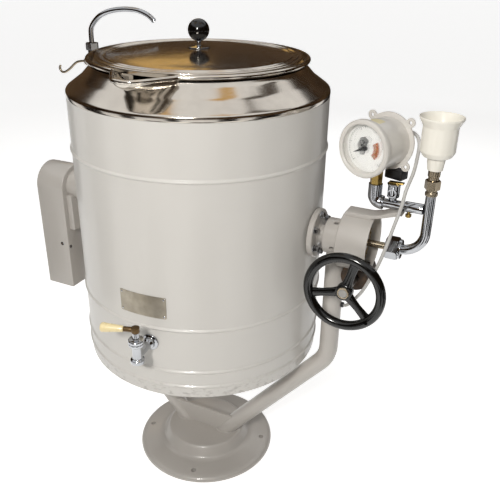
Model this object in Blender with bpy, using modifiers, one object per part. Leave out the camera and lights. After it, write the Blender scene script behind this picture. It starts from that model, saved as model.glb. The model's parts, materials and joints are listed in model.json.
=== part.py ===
"""Electric cooking kettle: a steam-jacketed boiling pan that tilts in a fork-shaped pedestal stand.

Metres, +Z up. The origin is on the floor under the kettle's axis. The trunnion axis runs along X,
the pouring spout faces -Y, the handwheel, gauge and filling funnel are at +X, and the faucet at -X.
"""
import math

import bmesh
import bpy
from mathutils import Matrix, Vector

# Clearances between pieces that touch, and between pieces that turn on each other.
GAP = 0.0003
RUNNING = 0.0003

# The kettle.
TRUNNION_Z = 0.685
CASING_R = 0.280
CASING_WALL = 0.0020
CASING_BOTTOM_Z = 0.356
RIM_Z = 1.0325
SHOULDER_DROP = 0.0095
SHOULDER_TOP_Z = RIM_Z - SHOULDER_DROP
SHOULDER_HEIGHT = 0.060
CASING_TOP_Z = SHOULDER_TOP_Z - SHOULDER_HEIGHT
TOP_BEAD_DROP = 0.111
BEAD_HEIGHTS = (CASING_TOP_Z - TOP_BEAD_DROP, 0.526, 0.4215, 0.384)
BEAD_PROUD = 0.0032
BEAD_HALF = 0.0050
FLOOR_PLATE = 0.0030
SHOULDER_STRIP = 0.011
SHEET = 0.0015
JACKET_SPACE = 0.080
VESSEL_R = CASING_R - JACKET_SPACE
RIM_FLARE = 0.0305
RIM_R = VESSEL_R + RIM_FLARE
RIM_BEAD_R = 0.0048
VESSEL_WALL = 0.0020
VESSEL_BOTTOM_Z = 0.515
VESSEL_DISH = 0.035
LEDGE_DROP = 0.0095
LEDGE_Z = RIM_Z - LEDGE_DROP
LEDGE_FLARE = 0.0215
LEDGE_R = VESSEL_R + LEDGE_FLARE
SPOUT_ANGLE = 3.0
SPOUT_OVERHANG = 0.020
SPOUT_REACH = CASING_R + SPOUT_OVERHANG
SPOUT_HALF_ANGLE = 17.5
SPOUT_DEPTH = 0.029
JACKET_GAP = 0.030
JACKET_BOTTOM_Z = 0.440
JACKET_DROP = 0.033
JACKET_TOP_Z = CASING_TOP_Z - JACKET_DROP
INSULATION = 0.024
GENERATOR_R = 0.120
GENERATOR_HEIGHT = 0.048
HEATER_R = 0.0045
HEATER_SPACING = 0.050

# Trunnions, bushes and the worm drive.
SHAFT_R = 0.020
SHAFT_BORE_R = 0.0085
FLANGE_R = 0.054
FLANGE_STANDOFF = 0.0015
FLANGE_X = CASING_R + FLANGE_STANDOFF
FLANGE_THICK = 0.0120
FLANGE_BOLT_CIRCLE_R = 0.043
FLANGE_BOLTS = 6
BOLT_R = 0.0078
BOLT_HEIGHT = 0.0090
HUB_R = 0.030
BUSH_WALL = 0.0040
COLLAR_R = 0.039
COLLAR_STANDOFF = 0.0285
COLLAR_X = FLANGE_X + COLLAR_STANDOFF
COLLAR_BORE_R = 0.0335
BEARING_WEB = 0.0120
DRUM_R = 0.062
DRUM_WALL = 0.0035
COLLAR_LENGTH = 0.0355
DRUM_X = COLLAR_X + COLLAR_LENGTH
DRUM_LENGTH = 0.0665
DRUM_END_X = DRUM_X + DRUM_LENGTH
WINDOW = (0.0100, 0.0085)
WHEEL_INSET = 0.0405
WHEEL_X = DRUM_X + WHEEL_INSET
WHEEL_TEETH = 34
TOOTH_MODULE = 0.003
WHEEL_FACE = 0.014
WORM_PITCH_R = 0.022
WORM_TURNS = 3
WORM_CASE_WALL = 0.0035
WORM_CASE_HALF = 0.030
WORM_CAP = 0.006
WORM_SHAFT_R = 0.009
HANDWHEEL_R = 0.0875
HANDWHEEL_Y = -0.100
HANDWHEEL_RIM = 0.0205
HUB_FRONT = 0.0045
HUB_BACK = 0.0140
HANDWHEEL_HUB_R = 0.0180
SPOKE_SET_BACK = 0.0030
WHEEL_NUT_HALF = 0.0015
SPOKE_ANGLES = (75.0, 195.0, 315.0)
HANDLE_HOLE_R = 0.0042

# The stand.
BASE_R = 0.180
BOSS_R = 0.098
BOSS_TOP_Z = 0.050
ANCHOR_HOLE_R = 0.0065
ANCHOR_MARGIN = 0.026
ANCHOR_CIRCLE_R = BASE_R - ANCHOR_MARGIN
ANCHOR_START = -73.6
ARM_INSET = 0.023
ARM_X = COLLAR_X + ARM_INSET
ARM_R = 0.0215
ARM_WALL = 0.0030
ARM_CORNER_Z = 0.375
ARM_SLOPE = 50.0
ARM_BEND_R = 0.080
GUSSET_TOP_Z = 0.106
GUSSET_Y = -0.012
GUSSET_THICK = 0.006

# The fittings on the right-hand housing.
BRACKET_WIDTH = 0.036
BRACKET_THICK = 0.006
MANIFOLD_Z = 0.780
MANIFOLD_R = 0.0095
UNION_R = 0.0110
GAUGE_STEM_INSET = 0.008
GAUGE_STEM_X = DRUM_END_X - GAUGE_STEM_INSET
ELBOW_R = 0.0145
ELBOW_TOP_Z = 0.818
FEED_PIPE_R = 0.0105
FEED_BEND_R = 0.045
NUT_STANDOFF = 0.028
NUT_START_X = DRUM_END_X + NUT_STANDOFF
UNION_OFFSET = 0.028
UNION_START_X = NUT_START_X + UNION_OFFSET
FUNNEL_OFFSET = 0.075
FUNNEL_X = NUT_START_X + FUNNEL_OFFSET
NUT_LENGTH = 0.026
NUT_R = 0.0245
STEAM_PIPE_R = 0.0075
STEAM_PIPE_INSERT = 0.012
STEAM_PIPE_END_X = NUT_START_X + STEAM_PIPE_INSERT
FUNNEL_VALVE_Z = 0.812
FUNNEL_NECK_Z = 0.864
FUNNEL_BOWL_Z = 0.892
FUNNEL_RIM_Z = 0.968
FUNNEL_BOWL_R = 0.0335
FUNNEL_RIM_R = 0.0418
FUNNEL_WALL = 0.0022
SAFETY_OFFSET = 0.0015
SAFETY_X = NUT_START_X + SAFETY_OFFSET
SAFETY_TOP_Z = 0.8245
SAFETY_R = 0.0125
COCK_OFFSET = 0.0365
COCK_X = NUT_START_X + COCK_OFFSET

# The pressure gauge, along its own axis from the front of its bezel.
GAUGE_CENTRE_Z = 0.9005
GAUGE_TURN = 19.4
GAUGE_CASE_R = 0.050
BEZEL_OVERLAP = 0.0067
BEZEL_R = GAUGE_CASE_R + BEZEL_OVERLAP
BEZEL_LIP = 0.0028
BEZEL_OPENING_R = GAUGE_CASE_R - BEZEL_LIP
BEZEL_DEPTH = 0.012
GAUGE_STEM_DEPTH = 0.060
GAUGE_CASE_WALL = 0.0022
GAUGE_DEPTH = 0.0927
GAUGE_FLANGE_MARGIN = 0.0075
GAUGE_FLANGE_R = GAUGE_CASE_R + GAUGE_FLANGE_MARGIN
GAUGE_FLANGE_THICK = 0.004
GAUGE_LUG = 0.0443
GAUGE_LUG_R = 0.0095
GLAND_R = 0.007
GLAND_LENGTH = 0.009
GLAND_ACROSS = 0.004
GLASS_DEPTH = 0.0055
GLASS_THICK = 0.0025
DIAL_DEPTH = 0.0175
DIAL_THICK = 0.0015
CABLE_R = 0.0036

# The left-hand side: bearing, terminal cover, water riser and faucet.
COVER_STANDOFF = 0.038
COVER_INNER_X = -ARM_X - COVER_STANDOFF
COVER_WIDTH = 0.082
COVER_OUTER_X = COVER_INNER_X - COVER_WIDTH
COVER_R = 0.055
COVER_CENTRE_Z = 0.680
COVER_BOTTOM_Z = 0.408
COVER_SHEET = 0.0018
COVER_WINDOW = (0.575, 0.660)
RISER_STANDOFF = 0.028
RISER_X = -ARM_X - RISER_STANDOFF
RISER_Y = 0.100
RISER_R = 0.0085
RISER_BOTTOM_Z = 0.430
RISER_DROP = 0.0775
RISER_TOP_Z = RIM_Z - RISER_DROP
CLIPS = (("riser_clip_lower", 0.465), ("riser_clip_upper", 0.555))
FAUCET_BODY_HEIGHT = 0.0495
FAUCET_NUT_Z = RISER_TOP_Z + FAUCET_BODY_HEIGHT
FAUCET_NUT_HEIGHT = 0.0165
FAUCET_NUT_R = 0.0165
GOOSENECK_R = 0.0060
GOOSENECK_TURN = 10.0

# The nameplate, the level tap and the lid.
PLATE_ANGLE = 2.9
PLATE_WIDTH = 0.108
PLATE_Z = (0.552, 0.602)
PLATE_THICK = 0.0012
TAP_ANGLE = 6.0
TAP_Z = 0.491
TAP_REACH = 0.058
TAP_TOP = 0.0575
TAP_PLUG_R = 0.0100
TAP_LEVER_TURN = 18.4
TAP_LEVER_REACH = 0.024
LID_CLEARANCE = 0.0032
LID_R = LEDGE_R - LID_CLEARANCE
LID_RING_RADII = (LID_R - 0.0227, LID_R - 0.0108)
LID_RISE = 0.0137
LID_SHEET = 0.0020
KNOB_BASE_R = 0.0245
KNOB_R = 0.0225
KNOB_RISE = 0.0535
KNOB_Z = RIM_Z + KNOB_RISE
KNOB_FOOT_ANGLE = 70.0
STEM_R = 0.0045

STEPS = 32
CASTING_STEPS = 24
GAUGE_STEPS = 28
SMALL_STEPS = 12

AXIS_TURN = {
    "Z": (0.0, 0.0, 0.0),
    "X": (0.0, math.radians(90), 0.0),
    "-X": (0.0, math.radians(-90), 0.0),
    "Y": (math.radians(-90), 0.0, 0.0),
    "-Y": (math.radians(90), 0.0, 0.0),
}

FINISHES = {
    "casing_enamel": ((0.62, 0.60, 0.58), 0.0, 0.35),
    "stand_enamel": ((0.36, 0.34, 0.33), 0.0, 0.40),
    "polished_stainless": ((0.60, 0.57, 0.52), 1.0, 0.15),
    "mill_stainless": ((0.55, 0.55, 0.55), 1.0, 0.35),
    "chrome_plate": ((0.70, 0.70, 0.72), 1.0, 0.10),
    "brass": ((0.62, 0.46, 0.20), 1.0, 0.30),
    "bronze": ((0.16, 0.12, 0.08), 1.0, 0.45),
    "steel": ((0.40, 0.40, 0.41), 1.0, 0.40),
    "cast_iron": ((0.12, 0.10, 0.09), 0.6, 0.60),
    "black_bakelite": ((0.01, 0.01, 0.01), 0.0, 0.25),
    "black_plastic": ((0.015, 0.015, 0.017), 0.0, 0.45),
    "gauge_enamel": ((0.50, 0.49, 0.47), 0.0, 0.40),
    "clear_glass": ((0.90, 0.92, 0.92), 0.0, 0.05),
    "white_dial": ((0.85, 0.85, 0.83), 0.0, 0.50),
    "orange_resin": ((0.42, 0.12, 0.03), 0.0, 0.50),
    "grey_cable": ((0.62, 0.61, 0.60), 0.0, 0.50),
    "cream_enamel": ((0.85, 0.80, 0.68), 0.0, 0.25),
    "cream_plastic": ((0.80, 0.68, 0.42), 0.0, 0.35),
    "nickel_plate": ((0.45, 0.40, 0.32), 0.9, 0.40),
    "mineral_wool": ((0.45, 0.38, 0.22), 0.0, 0.95),
}


def clear_scene():
    """Remove what the open file holds, so the model is built on its own."""
    for obj in list(bpy.data.objects):
        bpy.data.objects.remove(obj, do_unlink=True)


def new_collection(name):
    collection = bpy.data.collections.new(name)
    bpy.context.scene.collection.children.link(collection)
    return collection


def paint(obj, finish):
    """Give an object its own material in a named finish."""
    colour, metallic, roughness = FINISHES[finish]
    material = bpy.data.materials.new(obj.name + "_" + finish)
    material.use_nodes = True
    shader = material.node_tree.nodes["Principled BSDF"]
    shader.inputs["Base Color"].default_value = (*colour, 1.0)
    shader.inputs["Metallic"].default_value = metallic
    shader.inputs["Roughness"].default_value = roughness
    obj.data.materials.clear()
    obj.data.materials.append(material)
    return obj


def add_object(name, data, place=(0.0, 0.0, 0.0), turn=(0.0, 0.0, 0.0)):
    obj = bpy.data.objects.new(name, data)
    obj.location = place
    obj.rotation_euler = turn
    PARTS.objects.link(obj)
    return obj


def turned(name, profile, axis="Z", place=(0.0, 0.0, 0.0), steps=STEPS, turn=None):
    """Turn a profile of (radius, height) points, given down its outer side, about an axis."""
    points = [(radius, 0.0, height) for radius, height in profile]
    edges = [(i, i + 1) for i in range(len(points) - 1)]
    if profile[0][0] > 0.0:
        edges.append((len(points) - 1, 0))
    mesh = bpy.data.meshes.new(name)
    mesh.from_pydata(points, edges, [])
    obj = add_object(name, mesh, place, AXIS_TURN[axis] if turn is None else turn)
    screw = obj.modifiers.new("turn", "SCREW")
    screw.steps = steps
    screw.render_steps = steps
    screw.use_merge_vertices = True
    screw.merge_threshold = 0.00001
    return obj


def cylinder(name, radius, length, place, axis="Z", sides=SMALL_STEPS, tip_radius=None):
    """A round or many-sided bar centred on a place, with its tip at the axis's far end."""
    mesh = bpy.data.meshes.new(name)
    shape = bmesh.new()
    tip = radius if tip_radius is None else tip_radius
    bmesh.ops.create_cone(shape, cap_ends=True, segments=sides, radius1=radius, radius2=tip, depth=length)
    shape.to_mesh(mesh)
    shape.free()
    if sides > 8:
        mesh.shade_smooth()
        mesh.set_sharp_from_angle(angle=math.radians(40))
    return add_object(name, mesh, place, AXIS_TURN[axis])


def box(name, size, place, bevel=0.0, turn=(0.0, 0.0, 0.0)):
    mesh = bpy.data.meshes.new(name)
    shape = bmesh.new()
    bmesh.ops.create_cube(shape, size=1.0)
    bmesh.ops.scale(shape, vec=Vector(size), verts=shape.verts)
    shape.to_mesh(mesh)
    shape.free()
    obj = add_object(name, mesh, place, turn)
    if bevel > 0.0:
        edge = obj.modifiers.new("edges", "BEVEL")
        edge.width = bevel
        edge.segments = 2
    return obj


def as_mesh(obj):
    """Replace a curve by its welded mesh, so that it can be cut and joined."""
    bpy.context.view_layer.update()
    evaluated = obj.evaluated_get(bpy.context.evaluated_depsgraph_get())
    mesh = bpy.data.meshes.new_from_object(evaluated)
    shape = bmesh.new()
    shape.from_mesh(mesh)
    bmesh.ops.remove_doubles(shape, verts=shape.verts, dist=0.00001)
    shape.to_mesh(mesh)
    shape.free()
    name = obj.name
    place = obj.matrix_world.copy()
    bpy.data.objects.remove(obj, do_unlink=True)
    solid = bpy.data.objects.new(name, mesh)
    solid.matrix_world = place
    PARTS.objects.link(solid)
    return solid


def pipe(name, points, radius, resolution=3):
    """A round bar along a row of points."""
    curve = bpy.data.curves.new(name, "CURVE")
    curve.dimensions = "3D"
    curve.fill_mode = "FULL"
    curve.bevel_depth = radius
    curve.bevel_resolution = resolution
    curve.use_fill_caps = True
    spline = curve.splines.new("POLY")
    spline.points.add(len(points) - 1)
    for point, place in zip(spline.points, points):
        point.co = (*place, 1.0)
    spline.use_smooth = True
    return add_object(name, curve)


def plate(name, outlines, thickness, place=(0.0, 0.0, 0.0), turn=(0.0, 0.0, 0.0)):
    """A flat plate from closed outlines of (x, y) points. Inner outlines are holes."""
    curve = bpy.data.curves.new(name, "CURVE")
    curve.dimensions = "2D"
    curve.fill_mode = "BOTH"
    curve.extrude = thickness / 2
    for outline in outlines:
        spline = curve.splines.new("POLY")
        spline.points.add(len(outline) - 1)
        for point, (x, y) in zip(spline.points, outline):
            point.co = (x, y, 0.0, 1.0)
        spline.use_cyclic_u = True
    return as_mesh(add_object(name, curve, place, turn))


def arc(centre, radius, start, end, count):
    """Points along an arc, with angles in degrees."""
    return [
        (
            centre[0] + radius * math.cos(math.radians(start + (end - start) * i / (count - 1))),
            centre[1] + radius * math.sin(math.radians(start + (end - start) * i / (count - 1))),
        )
        for i in range(count)
    ]


def ring_outline(radius, count=SMALL_STEPS, centre=(0.0, 0.0)):
    return [
        (
            centre[0] + radius * math.cos(2 * math.pi * i / count),
            centre[1] + radius * math.sin(2 * math.pi * i / count),
        )
        for i in range(count)
    ]


def boolean(target, operation, tools):
    for tool in tools:
        step = target.modifiers.new(tool.name, "BOOLEAN")
        step.operation = operation
        step.solver = "EXACT"
        step.object = tool
        if tool.name not in CUTTERS.objects:
            PARTS.objects.unlink(tool)
            CUTTERS.objects.link(tool)
            tool.hide_render = True
            tool.display_type = "WIRE"
    return target


def cut(target, *tools):
    return boolean(target, "DIFFERENCE", tools)


def join(target, *tools):
    return boolean(target, "UNION", tools)


def keep_inside(target, *tools):
    return boolean(target, "INTERSECT", tools)


def hang_on(empty_name, place, pieces, turn=(0.0, 0.0, 0.0)):
    """Parent moving pieces to an empty that stands on their joint's axis."""
    empty = bpy.data.objects.new(empty_name, None)
    empty.empty_display_size = 0.03
    empty.location = place
    empty.rotation_euler = turn
    PARTS.objects.link(empty)
    bpy.context.view_layer.update()
    for piece in pieces:
        piece.parent = empty
        piece.matrix_parent_inverse = empty.matrix_world.inverted()
    return empty


def on_trunnion(x):
    return (x, 0.0, TRUNNION_Z)


WHEEL_PITCH_R = TOOTH_MODULE * WHEEL_TEETH / 2
WORM_Z = TRUNNION_Z - WHEEL_PITCH_R - WORM_PITCH_R
WORM_TIP_R = WORM_PITCH_R + 0.8 * TOOTH_MODULE
WORM_ROOT_R = WORM_PITCH_R - 1.1 * TOOTH_MODULE
WORM_LEAD = math.pi * TOOTH_MODULE
WORM_CASE_BORE_R = WORM_TIP_R + 0.002
WORM_CASE_R = WORM_CASE_BORE_R + WORM_CASE_WALL
BUSH_BORE_R = SHAFT_R + RUNNING
BUSH_R = BUSH_BORE_R + BUSH_WALL
JACKET_R = VESSEL_R + VESSEL_WALL + JACKET_GAP
ARM_FOOT_X = ARM_X - (ARM_CORNER_Z - BOSS_TOP_Z) / math.tan(math.radians(ARM_SLOPE))
SHAFT_END_X = WHEEL_X + WHEEL_FACE / 2 + 0.004
CASING_INNER_R = CASING_R - CASING_WALL
COVER_BEARING_X = COVER_INNER_X + GAP


def build_pedestal():
    """Cast base: a round floor flange that sweeps up into a conical boss."""
    profile = [
        (0.0, BOSS_TOP_Z),
        (BOSS_R, BOSS_TOP_Z),
        (BOSS_R + 0.004, BOSS_TOP_Z - 0.003),
        (BOSS_R + 0.013, 0.032),
        (BOSS_R + 0.018, 0.024),
        (BOSS_R + 0.028, 0.0195),
        (BASE_R - 0.012, 0.0150),
        (BASE_R - 0.004, 0.0120),
        (BASE_R, 0.0065),
        (BASE_R, 0.0),
        (0.0, 0.0),
    ]
    base = turned("pedestal_base", profile)
    for i in range(4):
        angle = math.radians(ANCHOR_START + 90.0 * i)
        place = (ANCHOR_CIRCLE_R * math.cos(angle), ANCHOR_CIRCLE_R * math.sin(angle), 0.01)
        cut(base, cylinder("anchor_hole_%d" % i, ANCHOR_HOLE_R, 0.06, place, sides=12))
    return paint(base, "stand_enamel")


def arm_path(side):
    """Down from the trunnion, round the corner and along the slope into the boss."""
    slope = math.radians(ARM_SLOPE)
    turn = math.pi / 2 - slope
    tangent = ARM_BEND_R * math.tan(turn / 2)
    centre_x = ARM_X - ARM_BEND_R
    centre_z = ARM_CORNER_Z + tangent
    points = [(side * ARM_X, 0.0, TRUNNION_Z)]
    for i in range(6):
        angle = turn * i / 5
        x = centre_x + ARM_BEND_R * math.cos(angle)
        z = centre_z - ARM_BEND_R * math.sin(angle)
        points.append((side * x, 0.0, z))
    foot_z = 0.010
    foot_x = ARM_FOOT_X - (BOSS_TOP_Z - foot_z) / math.tan(slope)
    points.append((side * foot_x, 0.0, foot_z))
    return points


def build_arm(name, side, seats):
    """One bent tube of the fork, cut to sit under its bearing and on the boss."""
    path = arm_path(side)
    arm = as_mesh(pipe(name, path, ARM_R, resolution=5))
    top = Vector(path[0]) + Vector((0.0, 0.0, 0.01))
    foot = Vector(path[-1]) + (Vector(path[-1]) - Vector(path[-2])).normalized() * 0.02
    bore_path = [tuple(top)] + path[1:-1] + [tuple(foot)]
    bore = as_mesh(pipe(name + "_bore", bore_path, ARM_R - ARM_WALL, resolution=3))
    floor = box(name + "_foot", (0.3, 0.2, 0.1), (side * ARM_FOOT_X, 0.0, BOSS_TOP_Z + GAP - 0.05))
    cut(arm, bore, floor, *seats)
    return paint(arm, "stand_enamel")


def build_gusset():
    """Web plate welded between the feet of the two arms."""
    slope = math.tan(math.radians(ARM_SLOPE))
    reach = ARM_FOOT_X + (GUSSET_TOP_Z - BOSS_TOP_Z) / slope
    foot = BOSS_TOP_Z + GAP
    outline = [(-ARM_FOOT_X, foot), (ARM_FOOT_X, foot), (reach, GUSSET_TOP_Z), (-reach, GUSSET_TOP_Z)]
    gusset = plate("fork_gusset", [outline], GUSSET_THICK, (0.0, GUSSET_Y, 0.0), AXIS_TURN["-Y"])
    for side, name in ((1, "right"), (-1, "left")):
        clearance = as_mesh(pipe("gusset_clear_" + name, arm_path(side), ARM_R + 2 * GAP, resolution=5))
        cut(gusset, clearance)
    return paint(gusset, "stand_enamel")


def housing_envelope(name, growth):
    """The outside of the right-hand housing as a solid, used to cut what carries it."""
    profile = [
        (0.0, DRUM_END_X + growth),
        (DRUM_R + growth, DRUM_END_X + growth),
        (DRUM_R + growth, DRUM_X - growth),
        (COLLAR_R + growth, DRUM_X - growth),
        (COLLAR_R + growth, COLLAR_X - growth),
        (0.0, COLLAR_X - growth),
    ]
    return turned(name, profile, "X", on_trunnion(0.0), CASTING_STEPS)


def build_gear_housing():
    """Right-hand bearing collar and the open-ended drum round the worm wheel."""
    profile = [
        (DRUM_R, DRUM_END_X),
        (DRUM_R, DRUM_X + 0.002),
        (DRUM_R - 0.002, DRUM_X),
        (COLLAR_R, DRUM_X),
        (COLLAR_R, COLLAR_X + 0.002),
        (COLLAR_R - 0.002, COLLAR_X),
        (BUSH_R + GAP, COLLAR_X),
        (BUSH_R + GAP, COLLAR_X + BEARING_WEB),
        (COLLAR_BORE_R, COLLAR_X + BEARING_WEB),
        (COLLAR_BORE_R, DRUM_X + DRUM_WALL),
        (DRUM_R - DRUM_WALL, DRUM_X + DRUM_WALL),
        (DRUM_R - DRUM_WALL, DRUM_END_X),
    ]
    housing = turned("gear_housing", profile, "X", on_trunnion(0.0), CASTING_STEPS)
    window_x = COLLAR_X + BEARING_WEB + 0.011
    for i, angle in enumerate((20.0, 110.0)):
        size = (WINDOW[0], 3 * COLLAR_R, WINDOW[1])
        slot = box("window_%d" % i, size, on_trunnion(window_x), turn=(math.radians(angle), 0.0, 0.0))
        cut(housing, slot)
    worm_room = cylinder("worm_room", WORM_CASE_BORE_R, 2 * WORM_CASE_HALF - 0.010, (WHEEL_X, 0.0, WORM_Z),
                         "Y", CASTING_STEPS)
    cut(housing, worm_room)
    return paint(housing, "stand_enamel")


def build_bush(name, side):
    """Bronze bush that a trunnion turns in."""
    length = BEARING_WEB + 0.001
    profile = [
        (BUSH_R, COLLAR_X + length),
        (BUSH_R, COLLAR_X),
        (BUSH_BORE_R, COLLAR_X),
        (BUSH_BORE_R, COLLAR_X + length),
    ]
    bush = turned(name, profile, "X" if side > 0 else "-X", on_trunnion(0.0), CASTING_STEPS)
    return paint(bush, "brass")


def build_worm_case():
    """Tube under the drum that holds the worm, and the cap on its back end."""
    front = -WORM_CASE_HALF
    back = WORM_CASE_HALF
    wall = 0.005
    profile = [
        (WORM_CASE_R, back),
        (WORM_CASE_R, front),
        (WORM_SHAFT_R + RUNNING, front),
        (WORM_SHAFT_R + RUNNING, front + wall),
        (WORM_CASE_BORE_R, front + wall),
        (WORM_CASE_BORE_R, back),
    ]
    place = (WHEEL_X, 0.0, WORM_Z)
    case = turned("worm_case", profile, "Y", place, CASTING_STEPS)
    saddle = cylinder("drum_saddle", DRUM_R + GAP, 0.12, on_trunnion(WHEEL_X), "X", CASTING_STEPS)
    cut(case, saddle)
    cap_front = back + GAP
    cap_profile = [
        (0.0, cap_front + WORM_CAP),
        (WORM_CASE_R - 0.002, cap_front + WORM_CAP),
        (WORM_CASE_R, cap_front + WORM_CAP - 0.002),
        (WORM_CASE_R, cap_front),
        (WORM_SHAFT_R + RUNNING, cap_front),
        (WORM_SHAFT_R + RUNNING, cap_front + 0.004),
        (0.0, cap_front + 0.004),
    ]
    cap = turned("worm_case_cap", cap_profile, "Y", place, CASTING_STEPS)
    cut(cap, saddle)
    return [paint(case, "cast_iron"), paint(cap, "cast_iron")]


def build_worm():
    """Handwheel shaft with a right-hand thread. A thread crosses the wheel's centre plane at the top."""
    start = -(WORM_TURNS // 2 + 0.75) * WORM_LEAD
    root = WORM_ROOT_R - 0.001
    half_root = 0.24 * WORM_LEAD
    half_tip = 0.11 * WORM_LEAD
    outline = [(root, half_root), (WORM_TIP_R, half_tip), (WORM_TIP_R, -half_tip), (root, -half_root)]
    mesh = bpy.data.meshes.new("worm_thread")
    mesh.from_pydata([(r, 0.0, start + z) for r, z in outline], [(0, 1), (1, 2), (2, 3), (3, 0)], [])
    place = (WHEEL_X, 0.0, WORM_Z)
    thread = add_object("worm_thread", mesh, place, AXIS_TURN["Y"])
    screw = thread.modifiers.new("thread", "SCREW")
    screw.steps = 12
    screw.render_steps = 12
    screw.iterations = WORM_TURNS
    screw.screw_offset = WORM_LEAD
    screw.merge_threshold = 0.00001
    thread = as_mesh(thread)
    shape = bmesh.new()
    shape.from_mesh(thread.data)
    bmesh.ops.holes_fill(shape, edges=[edge for edge in shape.edges if edge.is_boundary], sides=4)
    bmesh.ops.recalc_face_normals(shape, faces=shape.faces)
    shape.to_mesh(thread.data)
    shape.free()
    core = WORM_CASE_HALF - 0.0055
    back = WORM_CASE_HALF + GAP + 0.0035
    front = HANDWHEEL_Y - HUB_FRONT - 2 * WHEEL_NUT_HALF - GAP
    profile = [
        (0.0, back),
        (WORM_SHAFT_R, back),
        (WORM_SHAFT_R, core),
        (WORM_ROOT_R, core),
        (WORM_ROOT_R, -core),
        (WORM_SHAFT_R, -core),
        (WORM_SHAFT_R, front),
        (0.0, front),
    ]
    shaft = turned("worm_shaft", profile, "Y", place, SMALL_STEPS)
    join(shaft, thread)
    return paint(shaft, "steel")


def build_worm_wheel():
    """Gear keyed to the right-hand trunnion, with a gap between teeth at the very bottom."""
    root = WHEEL_PITCH_R - 1.1 * TOOTH_MODULE
    tip = WHEEL_PITCH_R + 0.8 * TOOTH_MODULE
    pitch = 2 * math.pi / WHEEL_TEETH
    outline = []
    for i in range(WHEEL_TEETH):
        middle = -math.pi / 2 + (i + 0.5) * pitch
        for radius, share in ((root, -0.26), (tip, -0.10), (tip, 0.10), (root, 0.26)):
            angle = middle + share * pitch
            outline.append((radius * math.cos(angle), radius * math.sin(angle)))
    bore = ring_outline(SHAFT_R + GAP, 24)
    turn = (math.radians(90), 0.0, math.radians(90))
    wheel = plate("worm_wheel", [outline, bore], WHEEL_FACE, on_trunnion(WHEEL_X), turn)
    return paint(wheel, "brass")


def build_handwheel():
    """Three-spoke wheel with a rounded rim, and the thin brass nut that holds it on its shaft."""
    place = (WHEEL_X, HANDWHEEL_Y, WORM_Z)
    middle = HANDWHEEL_R - HANDWHEEL_RIM / 2
    section = ring_outline(HANDWHEEL_RIM / 2, 8, (middle, 0.0))
    rim = turned("handwheel", section[::-1], "Y", place, STEPS)
    bore_r = WORM_SHAFT_R + GAP
    hub_profile = [
        (HANDWHEEL_HUB_R - 0.002, HUB_BACK),
        (HANDWHEEL_HUB_R, HUB_BACK - 0.002),
        (HANDWHEEL_HUB_R, -HUB_FRONT + 0.001),
        (HANDWHEEL_HUB_R - 0.001, -HUB_FRONT),
        (bore_r, -HUB_FRONT),
        (bore_r, HUB_BACK),
    ]
    join(rim, turned("handwheel_hub", hub_profile, "Y", place, SMALL_STEPS))
    inner = WORM_SHAFT_R + 0.004
    length = middle - inner
    for i, angle in enumerate(SPOKE_ANGLES):
        reach = inner + length / 2
        spoke = cylinder("spoke_%d" % i, 0.0105, length, (0.0, 0.0, 0.0), sides=8, tip_radius=0.0100)
        spoke.data.transform(spoke_frame(angle, reach))
        spoke.location = (WHEEL_X, HANDWHEEL_Y + SPOKE_SET_BACK, WORM_Z)
        join(rim, spoke)
    hole_angle = math.radians(SPOKE_ANGLES[2])
    hole_r = HANDWHEEL_R - 0.0115
    hole_place = (
        WHEEL_X + hole_r * math.cos(hole_angle),
        HANDWHEEL_Y,
        WORM_Z + hole_r * math.sin(hole_angle),
    )
    cut(rim, cylinder("crank_hole", HANDLE_HOLE_R, 0.05, hole_place, "Y", 12))
    nut_y = HANDWHEEL_Y - HUB_FRONT - WHEEL_NUT_HALF - GAP
    nut = turned("handwheel_nut", [
        (0.0130, WHEEL_NUT_HALF),
        (0.0130, 0.0),
        (0.0115, -WHEEL_NUT_HALF),
        (bore_r, -WHEEL_NUT_HALF),
        (bore_r, WHEEL_NUT_HALF),
    ], "Y", (WHEEL_X, nut_y, WORM_Z), SMALL_STEPS)
    return [paint(rim, "black_bakelite"), paint(nut, "brass")]


def spoke_frame(angle, reach):
    """Lay a cone along a spoke, flattened front to back."""
    lay = Matrix.Rotation(math.radians(90), 4, "Y")
    flat = Matrix.Diagonal((1.0, 0.62, 1.0, 1.0))
    out = Matrix.Translation((reach, 0.0, 0.0))
    around = Matrix.Rotation(-math.radians(angle), 4, "Y")
    return around @ out @ flat @ lay


def build_bracket():
    """Ramp that rises from the top of the drum to carry the manifold."""
    seat = TRUNNION_Z + DRUM_R + GAP
    top = MANIFOLD_Z - MANIFOLD_R - GAP
    pad_end = UNION_START_X - 2 * GAP
    outline = [
        (DRUM_X + 0.006, seat),
        (DRUM_END_X - 0.004, seat),
        (DRUM_END_X + 0.008, seat + 0.002),
        (pad_end - 0.003, top - BRACKET_THICK),
        (pad_end, top - BRACKET_THICK),
        (pad_end, top),
        (pad_end - 0.016, top),
        (DRUM_END_X + 0.012, seat + BRACKET_THICK + 0.005),
        (DRUM_END_X - 0.010, seat + BRACKET_THICK),
        (DRUM_X + 0.006, seat + BRACKET_THICK),
    ]
    bracket = plate("fittings_bracket", [outline], BRACKET_WIDTH, turn=AXIS_TURN["-Y"])
    skirt_foot = box("bracket_skirt", (DRUM_END_X - DRUM_X - 0.012, BRACKET_WIDTH, 0.012),
                     ((DRUM_X + DRUM_END_X) / 2, 0.0, seat + 0.001))
    drum = cylinder("bracket_saddle", DRUM_R + GAP, 0.2, on_trunnion(WHEEL_X), "X", CASTING_STEPS)
    join(bracket, skirt_foot)
    cut(bracket, drum)
    return paint(bracket, "stand_enamel")


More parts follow.
